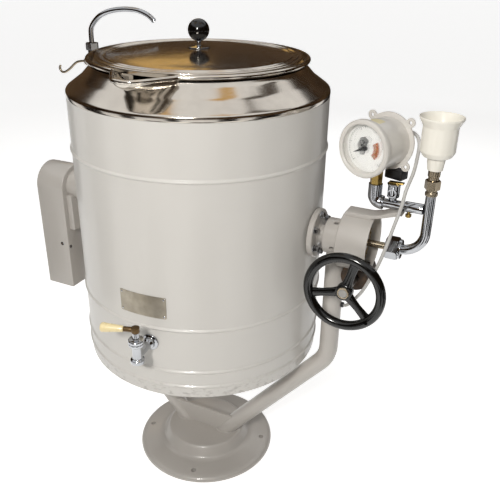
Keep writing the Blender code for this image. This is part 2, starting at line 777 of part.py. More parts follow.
def build_steam_line():
    """Union nut, fixed feed pipe and the manifold that carries the gauge and valves."""
    nut = cylinder("union_nut", NUT_R, NUT_LENGTH, on_trunnion(NUT_START_X + NUT_LENGTH / 2), "X", 6)
    cut(nut, cylinder("union_bore", STEAM_PIPE_R + RUNNING, 0.08, on_trunnion(NUT_START_X), "X"))
    start = NUT_START_X + NUT_LENGTH + GAP
    bend = [(FUNNEL_X - FEED_BEND_R + x, 0.0, TRUNNION_Z + FEED_BEND_R + z)
            for x, z in arc((0.0, 0.0), FEED_BEND_R, -90.0, 0.0, 9)]
    path = [(start, 0.0, TRUNNION_Z)] + bend + [(FUNNEL_X, 0.0, FUNNEL_VALVE_Z)]
    feed = as_mesh(pipe("feed_pipe", path, FEED_PIPE_R, resolution=4))
    collar = cylinder("feed_collar", NUT_R - 0.004, 0.006, on_trunnion(start + 0.003), "X")
    join(feed, collar)
    elbow_start = (GAUGE_STEM_X, 0.0, ELBOW_TOP_Z)
    radius = 0.016
    corner = [(GAUGE_STEM_X + radius + x, 0.0, MANIFOLD_Z + radius + z)
              for x, z in arc((0.0, 0.0), radius, 180.0, 270.0, 6)]
    elbow_end = (GAUGE_STEM_X + radius + 0.003, 0.0, MANIFOLD_Z)
    manifold = as_mesh(pipe("manifold", [elbow_start] + corner + [elbow_end], ELBOW_R, resolution=4))
    union_end = FUNNEL_X - FEED_PIPE_R - 0.0005
    thin_x = (GAUGE_STEM_X + UNION_START_X) / 2 + 0.006
    thin_length = UNION_START_X - GAUGE_STEM_X
    thin = cylinder("manifold_thin", MANIFOLD_R, thin_length, (thin_x, 0.0, MANIFOLD_Z), "X", 16)
    body_x = (UNION_START_X + union_end) / 2
    body = cylinder("manifold_union", UNION_R, union_end - UNION_START_X, (body_x, 0.0, MANIFOLD_Z), "X", 18)
    join(manifold, thin, body)
    feed_clear = cylinder("feed_clear", FEED_PIPE_R + GAP, 0.1, (FUNNEL_X, 0.0, MANIFOLD_Z), sides=16)
    cut(manifold, feed_clear)
    nipple_top = GAUGE_CENTRE_Z - GAUGE_CASE_R - GAP
    nipple_mid = (ELBOW_TOP_Z + GAP + nipple_top) / 2
    nipple = cylinder("gauge_nipple", 0.0125, nipple_top - ELBOW_TOP_Z - GAP,
                      (GAUGE_STEM_X, 0.0, nipple_mid), sides=6)
    return [
        paint(nut, "chrome_plate"),
        paint(feed, "chrome_plate"),
        paint(manifold, "chrome_plate"),
        paint(nipple, "brass"),
    ]


def build_funnel():
    """Hexagonal filling valve and the enamelled funnel cup on it."""
    foot = FUNNEL_VALVE_Z + GAP
    top = FUNNEL_NECK_Z
    valve = turned("funnel_valve", [
        (0.0, top),
        (0.0120, top),
        (0.0120, top - 0.012),
        (0.0105, top - 0.014),
        (0.0105, foot + 0.008),
        (0.0125, foot + 0.006),
        (0.0125, foot),
        (0.0, foot),
    ], place=(FUNNEL_X, 0.0, 0.0), steps=SMALL_STEPS)
    hexagon = cylinder("funnel_hexagon", 0.0155, 0.018, (FUNNEL_X, 0.0, foot + 0.022), sides=6)
    join(valve, hexagon)
    neck_r = 0.0170
    base = FUNNEL_NECK_Z + GAP
    cup = turned("funnel_cup", [
        (0.0, FUNNEL_BOWL_Z - 0.008),
        (FUNNEL_BOWL_R - 0.008, FUNNEL_BOWL_Z + 0.003),
        (FUNNEL_BOWL_R - FUNNEL_WALL, FUNNEL_BOWL_Z + 0.011),
        (FUNNEL_BOWL_R - FUNNEL_WALL, FUNNEL_RIM_Z - 0.016),
        (FUNNEL_RIM_R - 0.004, FUNNEL_RIM_Z),
        (FUNNEL_RIM_R, FUNNEL_RIM_Z),
        (FUNNEL_RIM_R, FUNNEL_RIM_Z - 0.0025),
        (FUNNEL_BOWL_R, FUNNEL_RIM_Z - 0.018),
        (FUNNEL_BOWL_R, FUNNEL_BOWL_Z + 0.010),
        (FUNNEL_BOWL_R - 0.006, FUNNEL_BOWL_Z),
        (neck_r + 0.001, FUNNEL_BOWL_Z - 0.003),
        (neck_r - 0.002, base),
        (0.0, base),
    ], place=(FUNNEL_X, 0.0, 0.0), steps=CASTING_STEPS)
    return [paint(valve, "brass"), paint(cup, "cream_enamel")]


def build_valves():
    """Safety valve with its test lever, and the small air cock under the manifold."""
    foot = MANIFOLD_Z + MANIFOLD_R + GAP
    valve = turned("safety_valve", [
        (0.0, SAFETY_TOP_Z),
        (SAFETY_R + 0.0015, SAFETY_TOP_Z),
        (SAFETY_R + 0.0015, SAFETY_TOP_Z - 0.0025),
        (SAFETY_R, SAFETY_TOP_Z - 0.0030),
        (SAFETY_R, foot + 0.007),
        (0.0080, foot + 0.004),
        (0.0080, foot),
        (0.0, foot),
    ], place=(SAFETY_X, 0.0, 0.0), steps=SMALL_STEPS)
    outlet_z = (SAFETY_TOP_Z + foot) / 2
    outlet = cylinder("safety_outlet", 0.0090, 0.010, (SAFETY_X, -SAFETY_R + 0.003, outlet_z), "-Y", 16)
    outlet_hole = cylinder("safety_outlet_hole", 0.0065, 0.012, (SAFETY_X, -SAFETY_R - 0.001, outlet_z), "-Y", 12)
    join(valve, outlet)
    cut(valve, outlet_hole)
    cock_top = MANIFOLD_Z - UNION_R - GAP
    return [paint(valve, "chrome_plate"), build_safety_lever(), build_air_cock(cock_top)]


def build_safety_lever():
    """Test lever that lies over the safety valve's cap and lifts its stem."""
    base = SAFETY_TOP_Z + GAP
    lever = box("safety_lever", (0.030, 0.012, 0.003), (SAFETY_X + 0.004, 0.0, base + 0.0015), 0.0008)
    return paint(lever, "brass")


def build_air_cock(cock_top):
    """Round-headed screw under the manifold that vents the jacket."""
    stub = turned("air_cock", [
        (0.0, 0.0),
        (0.0035, 0.0),
        (0.0035, -0.003),
        (0.0062, -0.004),
        (0.0062, -0.009),
        (0.0040, -0.011),
        (0.0, -0.011),
    ], place=(COCK_X, 0.0, cock_top), steps=SMALL_STEPS)
    return paint(stub, "brass")


def gauge_place(depth, across=0.0, up=0.0):
    """A point behind the bezel's front face, across to the dial's right and up from its centre."""
    turn = math.radians(GAUGE_TURN)
    front = (math.sin(turn), math.cos(turn))
    side = (math.cos(turn), -math.sin(turn))
    distance = depth - GAUGE_STEM_DEPTH
    return (
        GAUGE_STEM_X + front[0] * distance + side[0] * across,
        front[1] * distance + side[1] * across,
        GAUGE_CENTRE_Z + up,
    )


def flange_outline():
    """Round rear flange with four ears for its screws."""
    reach = math.hypot(GAUGE_LUG, GAUGE_LUG)
    lean = math.degrees(math.asin(GAUGE_LUG_R / reach))
    outline = []
    for i in range(4):
        middle = 45.0 + 90.0 * i
        centre = (reach * math.cos(math.radians(middle)), reach * math.sin(math.radians(middle)))
        outline += arc((0.0, 0.0), GAUGE_FLANGE_R, middle - 90.0 + lean, middle - lean, 6)
        outline += arc(centre, GAUGE_LUG_R, middle - 90.0 - lean, middle + 90.0 + lean, 9)
    return outline


def build_gauge():
    """Electric-contact pressure gauge: case with an eared rear flange, bezel, glass, dial and works."""
    turn = (math.radians(90), 0.0, -math.radians(GAUGE_TURN))
    inner = GAUGE_CASE_R - GAUGE_CASE_WALL
    skirt = GAUGE_CASE_R + GAP
    front = -GLASS_DEPTH - GLASS_THICK - 2 * GAP
    back = -GAUGE_DEPTH
    origin = gauge_place(0.0)
    case = turned("gauge_case", [
        (0.0, back + 0.006),
        (inner, back + 0.006),
        (inner, front),
        (GAUGE_CASE_R, front),
        (GAUGE_CASE_R, back + 0.030),
        (GAUGE_CASE_R - 0.0012, back + 0.028),
        (GAUGE_CASE_R - 0.0012, back + 0.001),
        (0.0, back + 0.001),
    ], place=origin, steps=GAUGE_STEPS, turn=turn)
    flange = plate("gauge_flange", [flange_outline()], GAUGE_FLANGE_THICK,
                   gauge_place(GAUGE_DEPTH - GAUGE_FLANGE_THICK / 2), turn)
    gland = cylinder("gauge_gland", GLAND_R, GLAND_LENGTH + 0.002,
                     gauge_place(GAUGE_DEPTH + GLAND_LENGTH / 2 - 0.001, GLAND_ACROSS), sides=16)
    gland.rotation_euler = turn
    join(case, flange, gland)
    for i, (across, up) in enumerate(((1, 1), (1, -1), (-1, 1), (-1, -1))):
        hole = cylinder("lug_hole_%d" % i, 0.0034, 0.03,
                        gauge_place(GAUGE_DEPTH, across * GAUGE_LUG, up * GAUGE_LUG), sides=10)
        hole.rotation_euler = turn
        cut(case, hole)
    bezel = turned("gauge_bezel", [
        (BEZEL_R - 0.0025, 0.0),
        (BEZEL_R, -0.0030),
        (BEZEL_R, -BEZEL_DEPTH),
        (skirt, -BEZEL_DEPTH),
        (skirt, -GLASS_DEPTH),
        (BEZEL_OPENING_R, -GLASS_DEPTH),
        (BEZEL_OPENING_R, -0.0020),
        (BEZEL_OPENING_R + 0.002, 0.0),
    ], place=origin, steps=GAUGE_STEPS, turn=turn)
    glass_front = -GLASS_DEPTH - GAP
    glass = turned("gauge_glass", [
        (0.0, glass_front),
        (GAUGE_CASE_R, glass_front),
        (GAUGE_CASE_R, glass_front - GLASS_THICK),
        (0.0, glass_front - GLASS_THICK),
    ], place=origin, steps=GAUGE_STEPS, turn=turn)
    dial = turned("gauge_dial", [
        (0.0, -DIAL_DEPTH),
        (inner - 0.0006, -DIAL_DEPTH),
        (inner - 0.0006, -DIAL_DEPTH - DIAL_THICK),
        (0.0, -DIAL_DEPTH - DIAL_THICK),
    ], place=origin, steps=GAUGE_STEPS, turn=turn)
    return [
        paint(case, "gauge_enamel"),
        paint(bezel, "gauge_enamel"),
        paint(glass, "clear_glass"),
        paint(dial, "white_dial"),
    ] + build_gauge_works(origin, turn)


def build_gauge_works(origin, turn):
    """Contact plates on the dial, the brown terminal plate and the moving pointer."""
    seat = -DIAL_DEPTH + GAP
    upright = (0.0, 0.0, -math.radians(GAUGE_TURN))
    plates = plate("gauge_contacts", [[(-0.021, 0.002), (-0.015, 0.016), (-0.006, 0.019), (0.001, 0.014),
                                      (-0.002, 0.005), (-0.004, -0.004), (-0.006, -0.013), (-0.013, -0.014)]],
                   0.0030, gauge_place(-seat - 0.0015), (math.radians(90), 0.0, upright[2]))
    terminal = plate("gauge_terminal_plate",
                     [arc((0.0, 0.0), 0.028, -42.0, 34.0, 9) + arc((0.0, 0.0), 0.017, 34.0, -42.0, 9)],
                     0.0030, gauge_place(-seat - 0.0015), (math.radians(90), 0.0, upright[2]))
    pointer_depth = DIAL_DEPTH - 0.0030 - 3 * GAP - 0.0006
    pointer = plate("gauge_pointer", [[(-0.0035, 0.0035), (-0.0270, -0.0118), (-0.0275, -0.0130),
                                       (0.0020, -0.0040), (0.0040, 0.0020)]],
                    0.0012, gauge_place(pointer_depth), (math.radians(90), 0.0, upright[2]))
    box_top = GAUGE_CENTRE_Z - GAUGE_FLANGE_R + 0.0025
    box_height = 0.0195
    terminal_box = box("gauge_terminal_box", (0.040, 0.026, box_height),
                       gauge_place(GAUGE_DEPTH + 0.004, 0.022, box_top - box_height / 2 - GAUGE_CENTRE_Z),
                       0.003, upright)
    flange_clear = cylinder("flange_clear", GAUGE_FLANGE_R + 2 * GAP, 0.06, gauge_place(GAUGE_DEPTH),
                            sides=2 * GAUGE_STEPS)
    flange_clear.rotation_euler = turn
    cut(terminal_box, flange_clear)
    return [
        paint(plates, "steel"),
        paint(terminal, "orange_resin"),
        paint(pointer, "black_plastic"),
        paint(terminal_box, "black_plastic"),
    ]


def catmull(points, step):
    """A smooth curve through hand-picked points, read every step along it."""
    path = []
    count = len(points)
    for i in range(count - 1):
        before = Vector(points[max(i - 1, 0)])
        start = Vector(points[i])
        end = Vector(points[i + 1])
        after = Vector(points[min(i + 2, count - 1)])
        pieces = max(1, round((end - start).length / step))
        for j in range(pieces):
            t = j / pieces
            path.append(tuple(0.5 * (
                2 * start
                + (end - before) * t
                + (2 * before - 5 * start + 4 * end - after) * t ** 2
                + (3 * start - before - 3 * end + after) * t ** 3
            )))
    path.append(tuple(points[-1]))
    return path


CABLE_ROUTE = (
    gauge_place(GAUGE_DEPTH + GLAND_LENGTH + GAP, GLAND_ACROSS),
    gauge_place(GAUGE_DEPTH + GLAND_LENGTH + 0.012, GLAND_ACROSS),
    (ARM_X + 0.1070, 0.0720, 0.9110),
    (ARM_X + 0.1250, 0.0700, 0.9080),
    (ARM_X + 0.1370, 0.0520, 0.8960),
    (ARM_X + 0.1408, 0.0300, 0.8758),
    (ARM_X + 0.1424, 0.0000, 0.8509),
    (ARM_X + 0.1389, -0.0300, 0.8257),
    (ARM_X + 0.1344, -0.0350, 0.7906),
    (ARM_X + 0.1246, -0.0400, 0.7446),
    (ARM_X + 0.1162, -0.0450, 0.7048),
    (ARM_X + 0.1051, -0.0480, 0.6620),
    (ARM_X + 0.0903, -0.0450, 0.6233),
    (ARM_X + 0.0750, -0.0400, 0.5880),
    (ARM_X + 0.0520, -0.0240, 0.5500),
    (ARM_X + 0.0360, -0.0070, 0.5270),
    (ARM_X + 0.0290, 0.0000, 0.5210),
    (ARM_X + ARM_R + GAP, 0.0000, 0.5210),
)


def build_cable():
    """Signal cable held at both ends: from the back of the gauge into the right-hand arm."""
    cable = pipe("gauge_cable", catmull(CABLE_ROUTE, 3 * 2 * CABLE_R), CABLE_R, resolution=2)
    return paint(as_mesh(cable), "grey_cable")


def build_left_bearing():
    """Left-hand bearing collar with the bracket plate that holds the terminal cover."""
    profile = [
        (COLLAR_R - 0.002, COLLAR_X),
        (COLLAR_R, COLLAR_X + 0.002),
        (COLLAR_R, -COVER_BEARING_X),
        (COLLAR_BORE_R, -COVER_BEARING_X),
        (COLLAR_BORE_R, COLLAR_X + BEARING_WEB),
        (BUSH_R + GAP, COLLAR_X + BEARING_WEB),
        (BUSH_R + GAP, COLLAR_X),
    ]
    bearing = turned("left_bearing", profile[::-1], "-X", on_trunnion(0.0), CASTING_STEPS)
    height = 0.094
    thick = -COVER_BEARING_X - (ARM_X + ARM_R + GAP)
    mid_x = COVER_BEARING_X + thick / 2
    bracket = box("cover_bracket", (thick, 0.086, height), (mid_x, 0.0, TRUNNION_Z - 0.018 - height / 2))
    bore = cylinder("bracket_bore", COLLAR_R - 0.002, 0.2, on_trunnion(-ARM_X), "X", CASTING_STEPS)
    cut(bracket, bore)
    join(bearing, bracket)
    return paint(bearing, "stand_enamel")


def cover_outline(shrink):
    """Mailbox outline: straight sides and a half-round top."""
    radius = COVER_R - shrink
    top = arc((0.0, COVER_CENTRE_Z), radius, 0.0, 180.0, 17)
    return [(radius, COVER_BOTTOM_Z + shrink)] + top + [(-radius, COVER_BOTTOM_Z + shrink)]


def build_left_cover():
    """Sheet cover over the electrical terminals, with a window towards the kettle."""
    turn = (math.radians(90), 0.0, math.radians(90))
    width = COVER_INNER_X - COVER_OUTER_X
    middle = (COVER_INNER_X + COVER_OUTER_X) / 2
    cover = plate("left_cover", [cover_outline(0.0)], width, (middle, 0.0, 0.0), turn)
    hollow = plate("cover_hollow", [cover_outline(COVER_SHEET)], width - 2 * COVER_SHEET,
                   (middle, 0.0, 0.0), turn)
    window_height = COVER_WINDOW[1] - COVER_WINDOW[0]
    window = box("cover_window", (0.02, 0.060, window_height),
                 (COVER_INNER_X, 0.0, COVER_WINDOW[0] + window_height / 2))
    shaft_hole = cylinder("cover_shaft_hole", SHAFT_R + 0.003, 0.02, on_trunnion(COVER_INNER_X), "X", 24)
    cut(cover, hollow, window, shaft_hole)
    return paint(cover, "stand_enamel")


def build_terminal_block():
    """Terminal strip screwed to the back of the cover's inner wall."""
    width = 0.050
    inner = COVER_INNER_X - COVER_SHEET - GAP
    block = box("terminal_block", (0.022, width, 0.060), (inner - 0.011, 0.0, COVER_WINDOW[0] - 0.035))
    for i in range(4):
        y = -width / 2 + (i + 0.5) * width / 4
        well = cylinder("terminal_well_%d" % i, 0.0032, 0.020, (inner - 0.022, y, COVER_WINDOW[0] - 0.035),
                        "X", 8)
        cut(block, well)
    return paint(block, "black_plastic")


def build_clip(name, height):
    """Clip that stands out from the left-hand arm and holds the riser."""
    outline = [(-ARM_X - 0.012, ARM_R - 0.006), (-ARM_X + 0.012, ARM_R - 0.006)]
    outline += arc((RISER_X, RISER_Y), RISER_R + 0.007, -15.0, 195.0, 12)
    hole = ring_outline(RISER_R + GAP, 16, (RISER_X, RISER_Y))
    clip = plate(name, [outline, hole], 0.012, (0.0, 0.0, height))
    cut(clip, cylinder(name + "_arm_clear", ARM_R + GAP, 0.1, (-ARM_X, 0.0, height), sides=24))
    return paint(clip, "stand_enamel")


def build_water_line():
    """Cold-water riser on its clips, faucet body, swivel gooseneck and lever."""
    place = (RISER_X, RISER_Y, 0.0)
    riser = turned("water_riser", [
        (RISER_R, RISER_TOP_Z),
        (RISER_R, RISER_BOTTOM_Z),
        (RISER_R - 0.0022, RISER_BOTTOM_Z),
        (RISER_R - 0.0022, RISER_TOP_Z),
    ], place=place, steps=16)
    for name, height in CLIPS:
        build_clip(name, height)
    foot = RISER_TOP_Z + GAP
    nut_base = FAUCET_NUT_Z
    body = turned("faucet_body", [
        (0.0, nut_base - GAP),
        (0.0110, nut_base - GAP),
        (0.0110, nut_base - 0.008),
        (0.0140, nut_base - 0.012),
        (0.0140, foot + 0.014),
        (0.0115, foot + 0.011),
        (0.0115, foot),
        (0.0, foot),
    ], place=place, steps=SMALL_STEPS)
    plug_z = (foot + nut_base) / 2
    boss = cylinder("faucet_boss", 0.0095, 0.024, (RISER_X, RISER_Y - 0.010, plug_z), "-Y", 16)
    join(body, boss)
    nut = cylinder("faucet_nut", FAUCET_NUT_R, FAUCET_NUT_HEIGHT,
                   (RISER_X, RISER_Y, nut_base + FAUCET_NUT_HEIGHT / 2), sides=6)
    cut(nut, cylinder("faucet_nut_bore", GOOSENECK_R + RUNNING, 0.05, (RISER_X, RISER_Y, nut_base), sides=16))
    lever_y = RISER_Y - 0.022 - GAP - 0.0025
    return [
        paint(riser, "chrome_plate"),
        paint(body, "chrome_plate"),
        paint(nut, "chrome_plate"),
        build_gooseneck(),
        build_faucet_lever(lever_y, plug_z),
    ]


GOOSENECK_SHAPE = (
    (0.0000, 0.0355),
    (0.0025, 0.0515),
    (0.0130, 0.0670),
    (0.0280, 0.0800),
    (0.0490, 0.0900),
    (0.0755, 0.0960),
    (0.1020, 0.0980),
    (0.1280, 0.0960),
    (0.1490, 0.0890),
    (0.1620, 0.0805),
    (0.1690, 0.0735),
)


def build_gooseneck():
    """Swan-necked spout that turns in the faucet's nut."""
    turn = math.radians(GOOSENECK_TURN)
    flat = [(0.0, GAP)] + list(GOOSENECK_SHAPE)
    points = [
        (RISER_X + out * math.cos(turn), RISER_Y + out * math.sin(turn), FAUCET_NUT_Z + rise)
        for out, rise in flat
    ]
    neck = as_mesh(pipe("gooseneck", points, GOOSENECK_R, resolution=4))
    last = Vector(points[-1])
    along = (last - Vector(points[-2])).normalized()
    mouth = as_mesh(pipe("gooseneck_mouth", [tuple(last - along * 0.02), tuple(last + along * 0.01)],
                         GOOSENECK_R - 0.0015))
    cut(neck, mouth)
    return paint(neck, "chrome_plate")


def build_faucet_lever(lever_y, plug_z):
    """Lever with a curled end, on the plug's front face."""
    path = [
        (RISER_X + 0.004, lever_y, plug_z + 0.002),
        (RISER_X - 0.030, lever_y, plug_z - 0.004),
        (RISER_X - 0.055, lever_y, plug_z - 0.022),
        (RISER_X - 0.072, lever_y, plug_z - 0.032),
        (RISER_X - 0.083, lever_y, plug_z - 0.032),
        (RISER_X - 0.088, lever_y, plug_z - 0.024),
        (RISER_X - 0.085, lever_y, plug_z - 0.017),
    ]
    lever = as_mesh(pipe("faucet_lever", path, 0.0025, resolution=2))
    disc = cylinder("faucet_lever_disc", 0.0085, 0.005, (RISER_X, lever_y, plug_z), "-Y", 16)
    join(lever, disc)
    return paint(lever, "bronze")


def build_casing():
    """Enamelled outer casing with its pressed beads, and the plate that closes its bottom."""
    profile = [(CASING_R, CASING_TOP_Z)]
    for height in BEAD_HEIGHTS:
        profile += [(CASING_R, height + BEAD_HALF), (CASING_R + BEAD_PROUD, height),
                    (CASING_R, height - BEAD_HALF)]
    profile += [
        (CASING_R, CASING_BOTTOM_Z),
        (CASING_INNER_R - 0.006, CASING_BOTTOM_Z),
        (CASING_INNER_R - 0.006, CASING_BOTTOM_Z + 0.002),
        (CASING_INNER_R, CASING_BOTTOM_Z + 0.002),
        (CASING_INNER_R, CASING_TOP_Z),
    ]
    casing = turned("outer_casing", profile)
    for side, name in ((1, "right"), (-1, "left")):
        cut(casing, cylinder("hub_hole_" + name, HUB_R + GAP, 0.06, on_trunnion(side * CASING_R), "X", 24))
    seat = CASING_BOTTOM_Z + 0.002 + GAP
    bottom = turned("casing_bottom", [
        (0.0, seat + FLOOR_PLATE),
        (CASING_INNER_R - GAP, seat + FLOOR_PLATE),
        (CASING_INNER_R - GAP, seat),
        (0.0, seat),
    ])
    return [paint(casing, "casing_enamel"), paint(bottom, "stand_enamel")]


SPOUT_STATIONS = (
    (-0.30, 1.180, 1.00),
    (0.00, 1.000, 1.00),
    (0.30, 0.790, 0.95),
    (0.58, 0.585, 0.78),
    (0.80, 0.410, 0.56),
    (0.94, 0.250, 0.34),
)


def spout_edge(along, spread):
    """A point on the lip, from 0 at the rim to 1 at the tip, as half-width and distance."""
    half = math.radians(SPOUT_HALF_ANGLE)
    rim_distance = RIM_R * math.cos(half)
    distance = rim_distance + (SPOUT_REACH - rim_distance) * along
    return RIM_R * math.sin(half) * spread, distance


def spout_section(along, spread, share, shrink):
    """Half-round trough section across the spout, a share of the way to its tip."""
    half_width, distance = spout_edge(along, spread)
    half_width -= 1.3 * shrink
    distance += min(shrink, 0.0)
    depth = SPOUT_DEPTH * share - shrink
    points = []
    for i in range(9):
        angle = math.pi * i / 8
        points.append((half_width * math.cos(angle), -distance, RIM_Z - depth * math.sin(angle)))
    return points


def loft(name, sections, tip):
    """Close a row of like sections into a solid, with its far end drawn to a point."""
    mesh = bpy.data.meshes.new(name)
    shape = bmesh.new()
    rows = [[shape.verts.new(point) for point in section] for section in sections]
    count = len(rows[0])
    for near, far in zip(rows, rows[1:]):
        for i in range(count):
            j = (i + 1) % count
            shape.faces.new((near[i], near[j], far[j], far[i]))
    shape.faces.new(rows[0])
    end = shape.verts.new(tip)
    for i in range(count):
        j = (i + 1) % count
        shape.faces.new((rows[-1][i], rows[-1][j], end))
    bmesh.ops.recalc_face_normals(shape, faces=shape.faces)
    shape.to_mesh(mesh)
    shape.free()
    return add_object(name, mesh)


def to_spout(point):
    """Turn a point from the -Y front to the spout's own direction."""
    return tuple(Matrix.Rotation(math.radians(SPOUT_ANGLE), 3, "Z") @ Vector(point))


def spout_solid(name, shrink, lift):
    """The trough as a solid, with a flat lid at the rim's height or some way above it."""
    sections = []
    for along, spread, share in SPOUT_STATIONS:
        section = spout_section(along, spread, share, shrink)
        edge, front, _ = section[0]
        if lift > 0.0:
            lid = RIM_Z + lift
            section = [(edge, front, lid)] + section + [(-edge, front, lid)]
        sections.append(section)
    tip_y = -SPOUT_REACH + shrink * 1.3
    rows = [[to_spout(point) for point in section] for section in sections]
    return loft(name, rows, to_spout((0.0, tip_y, RIM_Z)))


def vessel_profile():
    """Section through the vessel: rolled rim, ledge for the lid, straight wall and dished bottom."""
    wall = VESSEL_WALL
    outer = VESSEL_R + wall
    bead = arc((RIM_R, RIM_Z), RIM_BEAD_R, 90.0, -90.0, 5)
    inner_side = [
        (0.0, VESSEL_BOTTOM_Z + wall),
        (VESSEL_R * 0.85, VESSEL_BOTTOM_Z + VESSEL_DISH * 0.36 + wall),
        (VESSEL_R, VESSEL_BOTTOM_Z + VESSEL_DISH + wall),
        (VESSEL_R, LEDGE_Z),
        (VESSEL_R + wall, LEDGE_Z + wall),
        (LEDGE_R, LEDGE_Z + wall),
        (RIM_R - 0.006, RIM_Z - 0.002),
        (RIM_R - 0.003, RIM_Z + RIM_BEAD_R),
    ]
    outer_side = [
        (RIM_R - 0.003, RIM_Z - RIM_BEAD_R - 0.001),
        (LEDGE_R + wall, LEDGE_Z - 0.001),
        (outer, LEDGE_Z - wall),
        (outer, VESSEL_BOTTOM_Z + VESSEL_DISH),
        (outer * 0.85, VESSEL_BOTTOM_Z + VESSEL_DISH * 0.36),
        (0.0, VESSEL_BOTTOM_Z),
    ]
    return inner_side + bead + outer_side


def build_vessel():
    """Cooking vessel with its pouring spout, whose rolled edge runs round the rim and the lip."""
    vessel = turned("inner_vessel", vessel_profile())
    outer = spout_solid("spout_outer", 0.0, 0.0)
    inner = spout_solid("spout_inner", 0.0022, 0.030)
    edge = [spout_edge(along, spread) for along, spread, share in SPOUT_STATIONS[1:]]
    right_side = [(x, -y, RIM_Z) for x, y in edge]
    left_side = [(-x, y, z) for x, y, z in reversed(right_side)]
    nose = (0.0, -SPOUT_REACH + 0.0020, RIM_Z)
    lip_path = [to_spout(point) for point in right_side + [nose] + left_side]
    lip = as_mesh(pipe("spout_lip", lip_path, RIM_BEAD_R * 0.92, resolution=2))
    inside = turned("vessel_inside", [
        (0.0, RIM_Z + 0.030),
        (RIM_R - 0.005, RIM_Z + 0.030),
        (RIM_R - 0.005, RIM_Z - 0.002),
        (LEDGE_R + 0.001, LEDGE_Z + VESSEL_WALL - 0.001),
        (VESSEL_R + 0.001, LEDGE_Z - 0.001),
        (VESSEL_R + 0.001, LEDGE_Z - 0.050),
        (0.0, LEDGE_Z - 0.050),
    ])
    cut(outer, inside)
    join(vessel, outer)
    cut(vessel, inner)
    join(vessel, lip)
    return paint(vessel, "polished_stainless")


def build_shoulder():
    """Polished cone from the top of the casing up to the rim, opened round the spout."""
    foot = CASING_TOP_Z + GAP
    strip = foot + SHOULDER_STRIP
    neck = RIM_R - 0.0035
    neck_z = SHOULDER_TOP_Z
    profile = [
        (neck, neck_z),
        (neck + 0.003, neck_z - 0.006),
        (neck + 0.022, neck_z - 0.026),
        (CASING_R - 0.008, strip + 0.006),
        (CASING_R + 0.0006, strip),
        (CASING_R + 0.0006, foot),
        (CASING_R - SHEET, foot),
        (CASING_R - SHEET, strip),
        (CASING_R - 0.008 - SHEET, strip + 0.005),
        (neck + 0.022 - SHEET, neck_z - 0.027),
        (neck + 0.003 - SHEET, neck_z - 0.007),
        (neck - SHEET, neck_z - 0.001),
    ]
    shoulder = turned("top_shoulder", profile)
    clear = spout_solid("spout_clear", -GAP * 4, 0.002)
    cut(shoulder, clear)
    return paint(shoulder, "polished_stainless")


def build_jacket():
    """Steam jacket, its insulation, and the steam generator with its heating elements."""
    vessel_side = VESSEL_R + VESSEL_WALL + GAP
    jacket = turned("steam_jacket", [
        (0.0, JACKET_BOTTOM_Z + 0.003),
        (JACKET_R - 0.031, JACKET_BOTTOM_Z + 0.003),
        (JACKET_R - 0.003, JACKET_BOTTOM_Z + 0.031),
        (JACKET_R - 0.003, JACKET_TOP_Z - 0.003),
        (vessel_side, JACKET_TOP_Z - 0.003),
        (vessel_side, JACKET_TOP_Z),
        (JACKET_R, JACKET_TOP_Z),
        (JACKET_R, JACKET_BOTTOM_Z + 0.030),
        (JACKET_R - 0.030, JACKET_BOTTOM_Z),
        (0.0, JACKET_BOTTOM_Z),
    ])
    wool = turned("insulation", [
        (JACKET_R + GAP + INSULATION, JACKET_TOP_Z),
        (JACKET_R + GAP + INSULATION, JACKET_BOTTOM_Z + 0.030),
        (JACKET_R + GAP, JACKET_BOTTOM_Z + 0.030),
        (JACKET_R + GAP, JACKET_TOP_Z),
    ])
    for side, name in ((1, "right"), (-1, "left")):
        cut(wool, cylinder("wool_hole_" + name, HUB_R + GAP, 0.08, on_trunnion(side * JACKET_R), "X", 24))
    top = JACKET_BOTTOM_Z - GAP
    bottom = top - GENERATOR_HEIGHT
    generator = turned("steam_generator", [
        (0.0, bottom + 0.003),
        (GENERATOR_R - 0.003, bottom + 0.003),
        (GENERATOR_R - 0.003, top),
        (GENERATOR_R, top),
        (GENERATOR_R, bottom),
        (0.0, bottom),
    ], steps=GAUGE_STEPS)
    return [
        paint(jacket, "mill_stainless"),
        paint(wool, "mineral_wool"),
        paint(generator, "mill_stainless"),
        build_heaters(bottom),
    ]


def build_heaters(bottom):
    """Three hairpin elements on one terminal head, lying on the generator's floor."""
    z = bottom + 0.003 + GAP + 0.008
    reach = 0.070
    head = box("heating_element", (0.012, 2.6 * HEATER_SPACING, 0.016), (-reach, 0.0, z), 0.002)
    for i in range(3):
        y = (i - 1) * HEATER_SPACING
        half = HEATER_SPACING * 0.30
        bend = [(reach + x, y + v, z) for x, v in arc((0.0, 0.0), half, -90.0, 90.0, 5)]
        path = [(-reach, y - half, z)] + bend + [(-reach, y + half, z)]
        join(head, as_mesh(pipe("heater_%d" % i, path, HEATER_R, resolution=2)))
    return paint(head, "steel")


